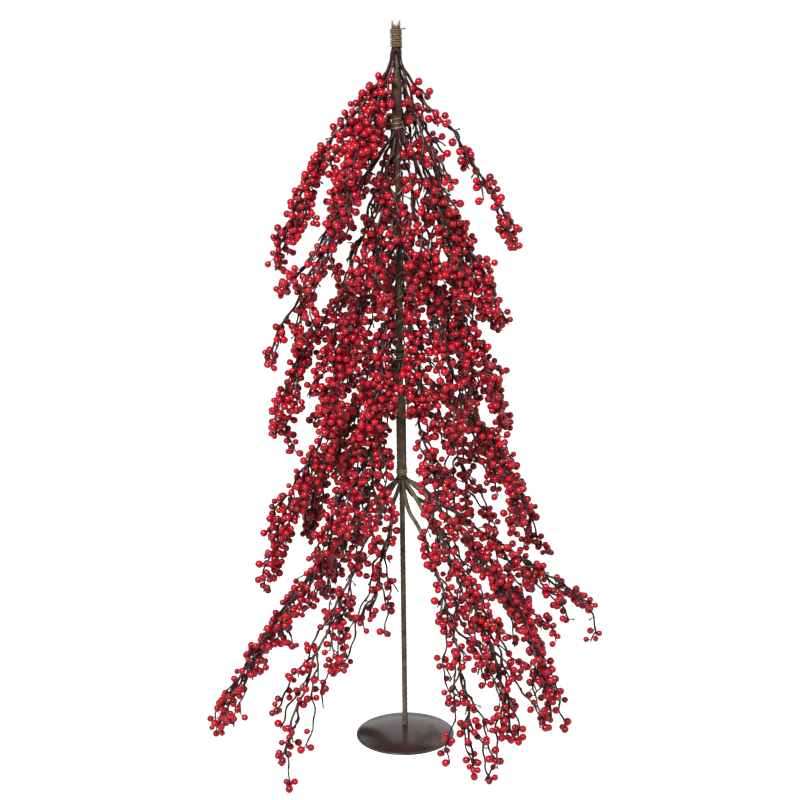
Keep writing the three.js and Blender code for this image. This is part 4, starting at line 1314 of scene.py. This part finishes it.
# Studio
def make_camera():
    """The camera of the photograph: higher than the crown, turned down and rolled a little."""
    lens = bpy.data.cameras.new("camera")
    lens.lens = LENS_MM
    lens.sensor_width = SENSOR_MM
    camera = new_object("camera", lens)
    place = Matrix.Translation((CAMERA_ASIDE, -CAMERA_DISTANCE, CAMERA_HEIGHT))
    pitch = Matrix.Rotation(math.pi / 2 - CAMERA_PITCH, 4, "X")
    camera.matrix_world = place @ pitch @ Matrix.Rotation(-CAMERA_ROLL, 4, "Z")
    bpy.context.scene.camera = camera


def soft_light(name, place, target, width, height, watts):
    """A rectangular area light that faces a target."""
    light = bpy.data.lights.new(name, "AREA")
    light.shape = "RECTANGLE"
    light.size = width
    light.size_y = height
    light.energy = watts
    lamp = new_object(name, light)
    way = Vector(np.array(target) - np.array(place))
    lamp.location = place
    lamp.rotation_euler = way.to_track_quat("-Z", "Y").to_euler()


def seen_level(tree, unseen, seen):
    """A value for what the camera sees itself, and another for the light that falls on the tree."""
    rays = tree.nodes.new("ShaderNodeLightPath")
    level = add_node(tree, "ShaderNodeMapRange", To_Min=unseen, To_Max=seen)
    tree.links.new(rays.outputs["Is Camera Ray"], level.inputs["Value"])
    return level.outputs["Result"]


def make_world():
    """A world that the camera sees white and the tree sees grey."""
    world = bpy.data.worlds.new("studio")
    world.use_nodes = True
    tree = world.node_tree
    backdrop = tree.nodes["Background"]
    set_sockets(backdrop, dict(Color=WHITE))
    tree.links.new(seen_level(tree, WORLD_LIGHT, 1.0), backdrop.inputs["Strength"])
    bpy.context.scene.world = world
    bpy.context.scene.view_settings.view_transform = "Standard"


def make_floor():
    """A grey floor that the camera sees white."""
    material, tree, shader = new_material("pale_floor")
    set_sockets(shader, dict(Base_Color=FLOOR_GREY, Roughness=0.9, Emission_Color=WHITE))
    tree.links.new(seen_level(tree, 0.0, 1.0), shader.inputs["Emission Strength"])
    mesh = bpy.data.meshes.new("floor")
    half = FLOOR_HALF
    corners = [(-half, -half, 0), (half, -half, 0), (half, half, 0), (-half, half, 0)]
    mesh.from_pydata(corners, [], [(0, 1, 2, 3)])
    mesh.materials.append(material)
    new_object("floor", mesh)


make_camera()
make_world()
for light_name, values in LIGHTS.items():
    soft_light(light_name, *values)
make_floor()
make_base_plate()
make_pole_tape()
make_tie_tape(TIERS[1], SECOND_WRAP, brown=1.0)
make_tie_tape(TIERS[-1], LOWEST_WRAP, brown=0.0)
make_windings()
make_sprays()
finish_hardware()
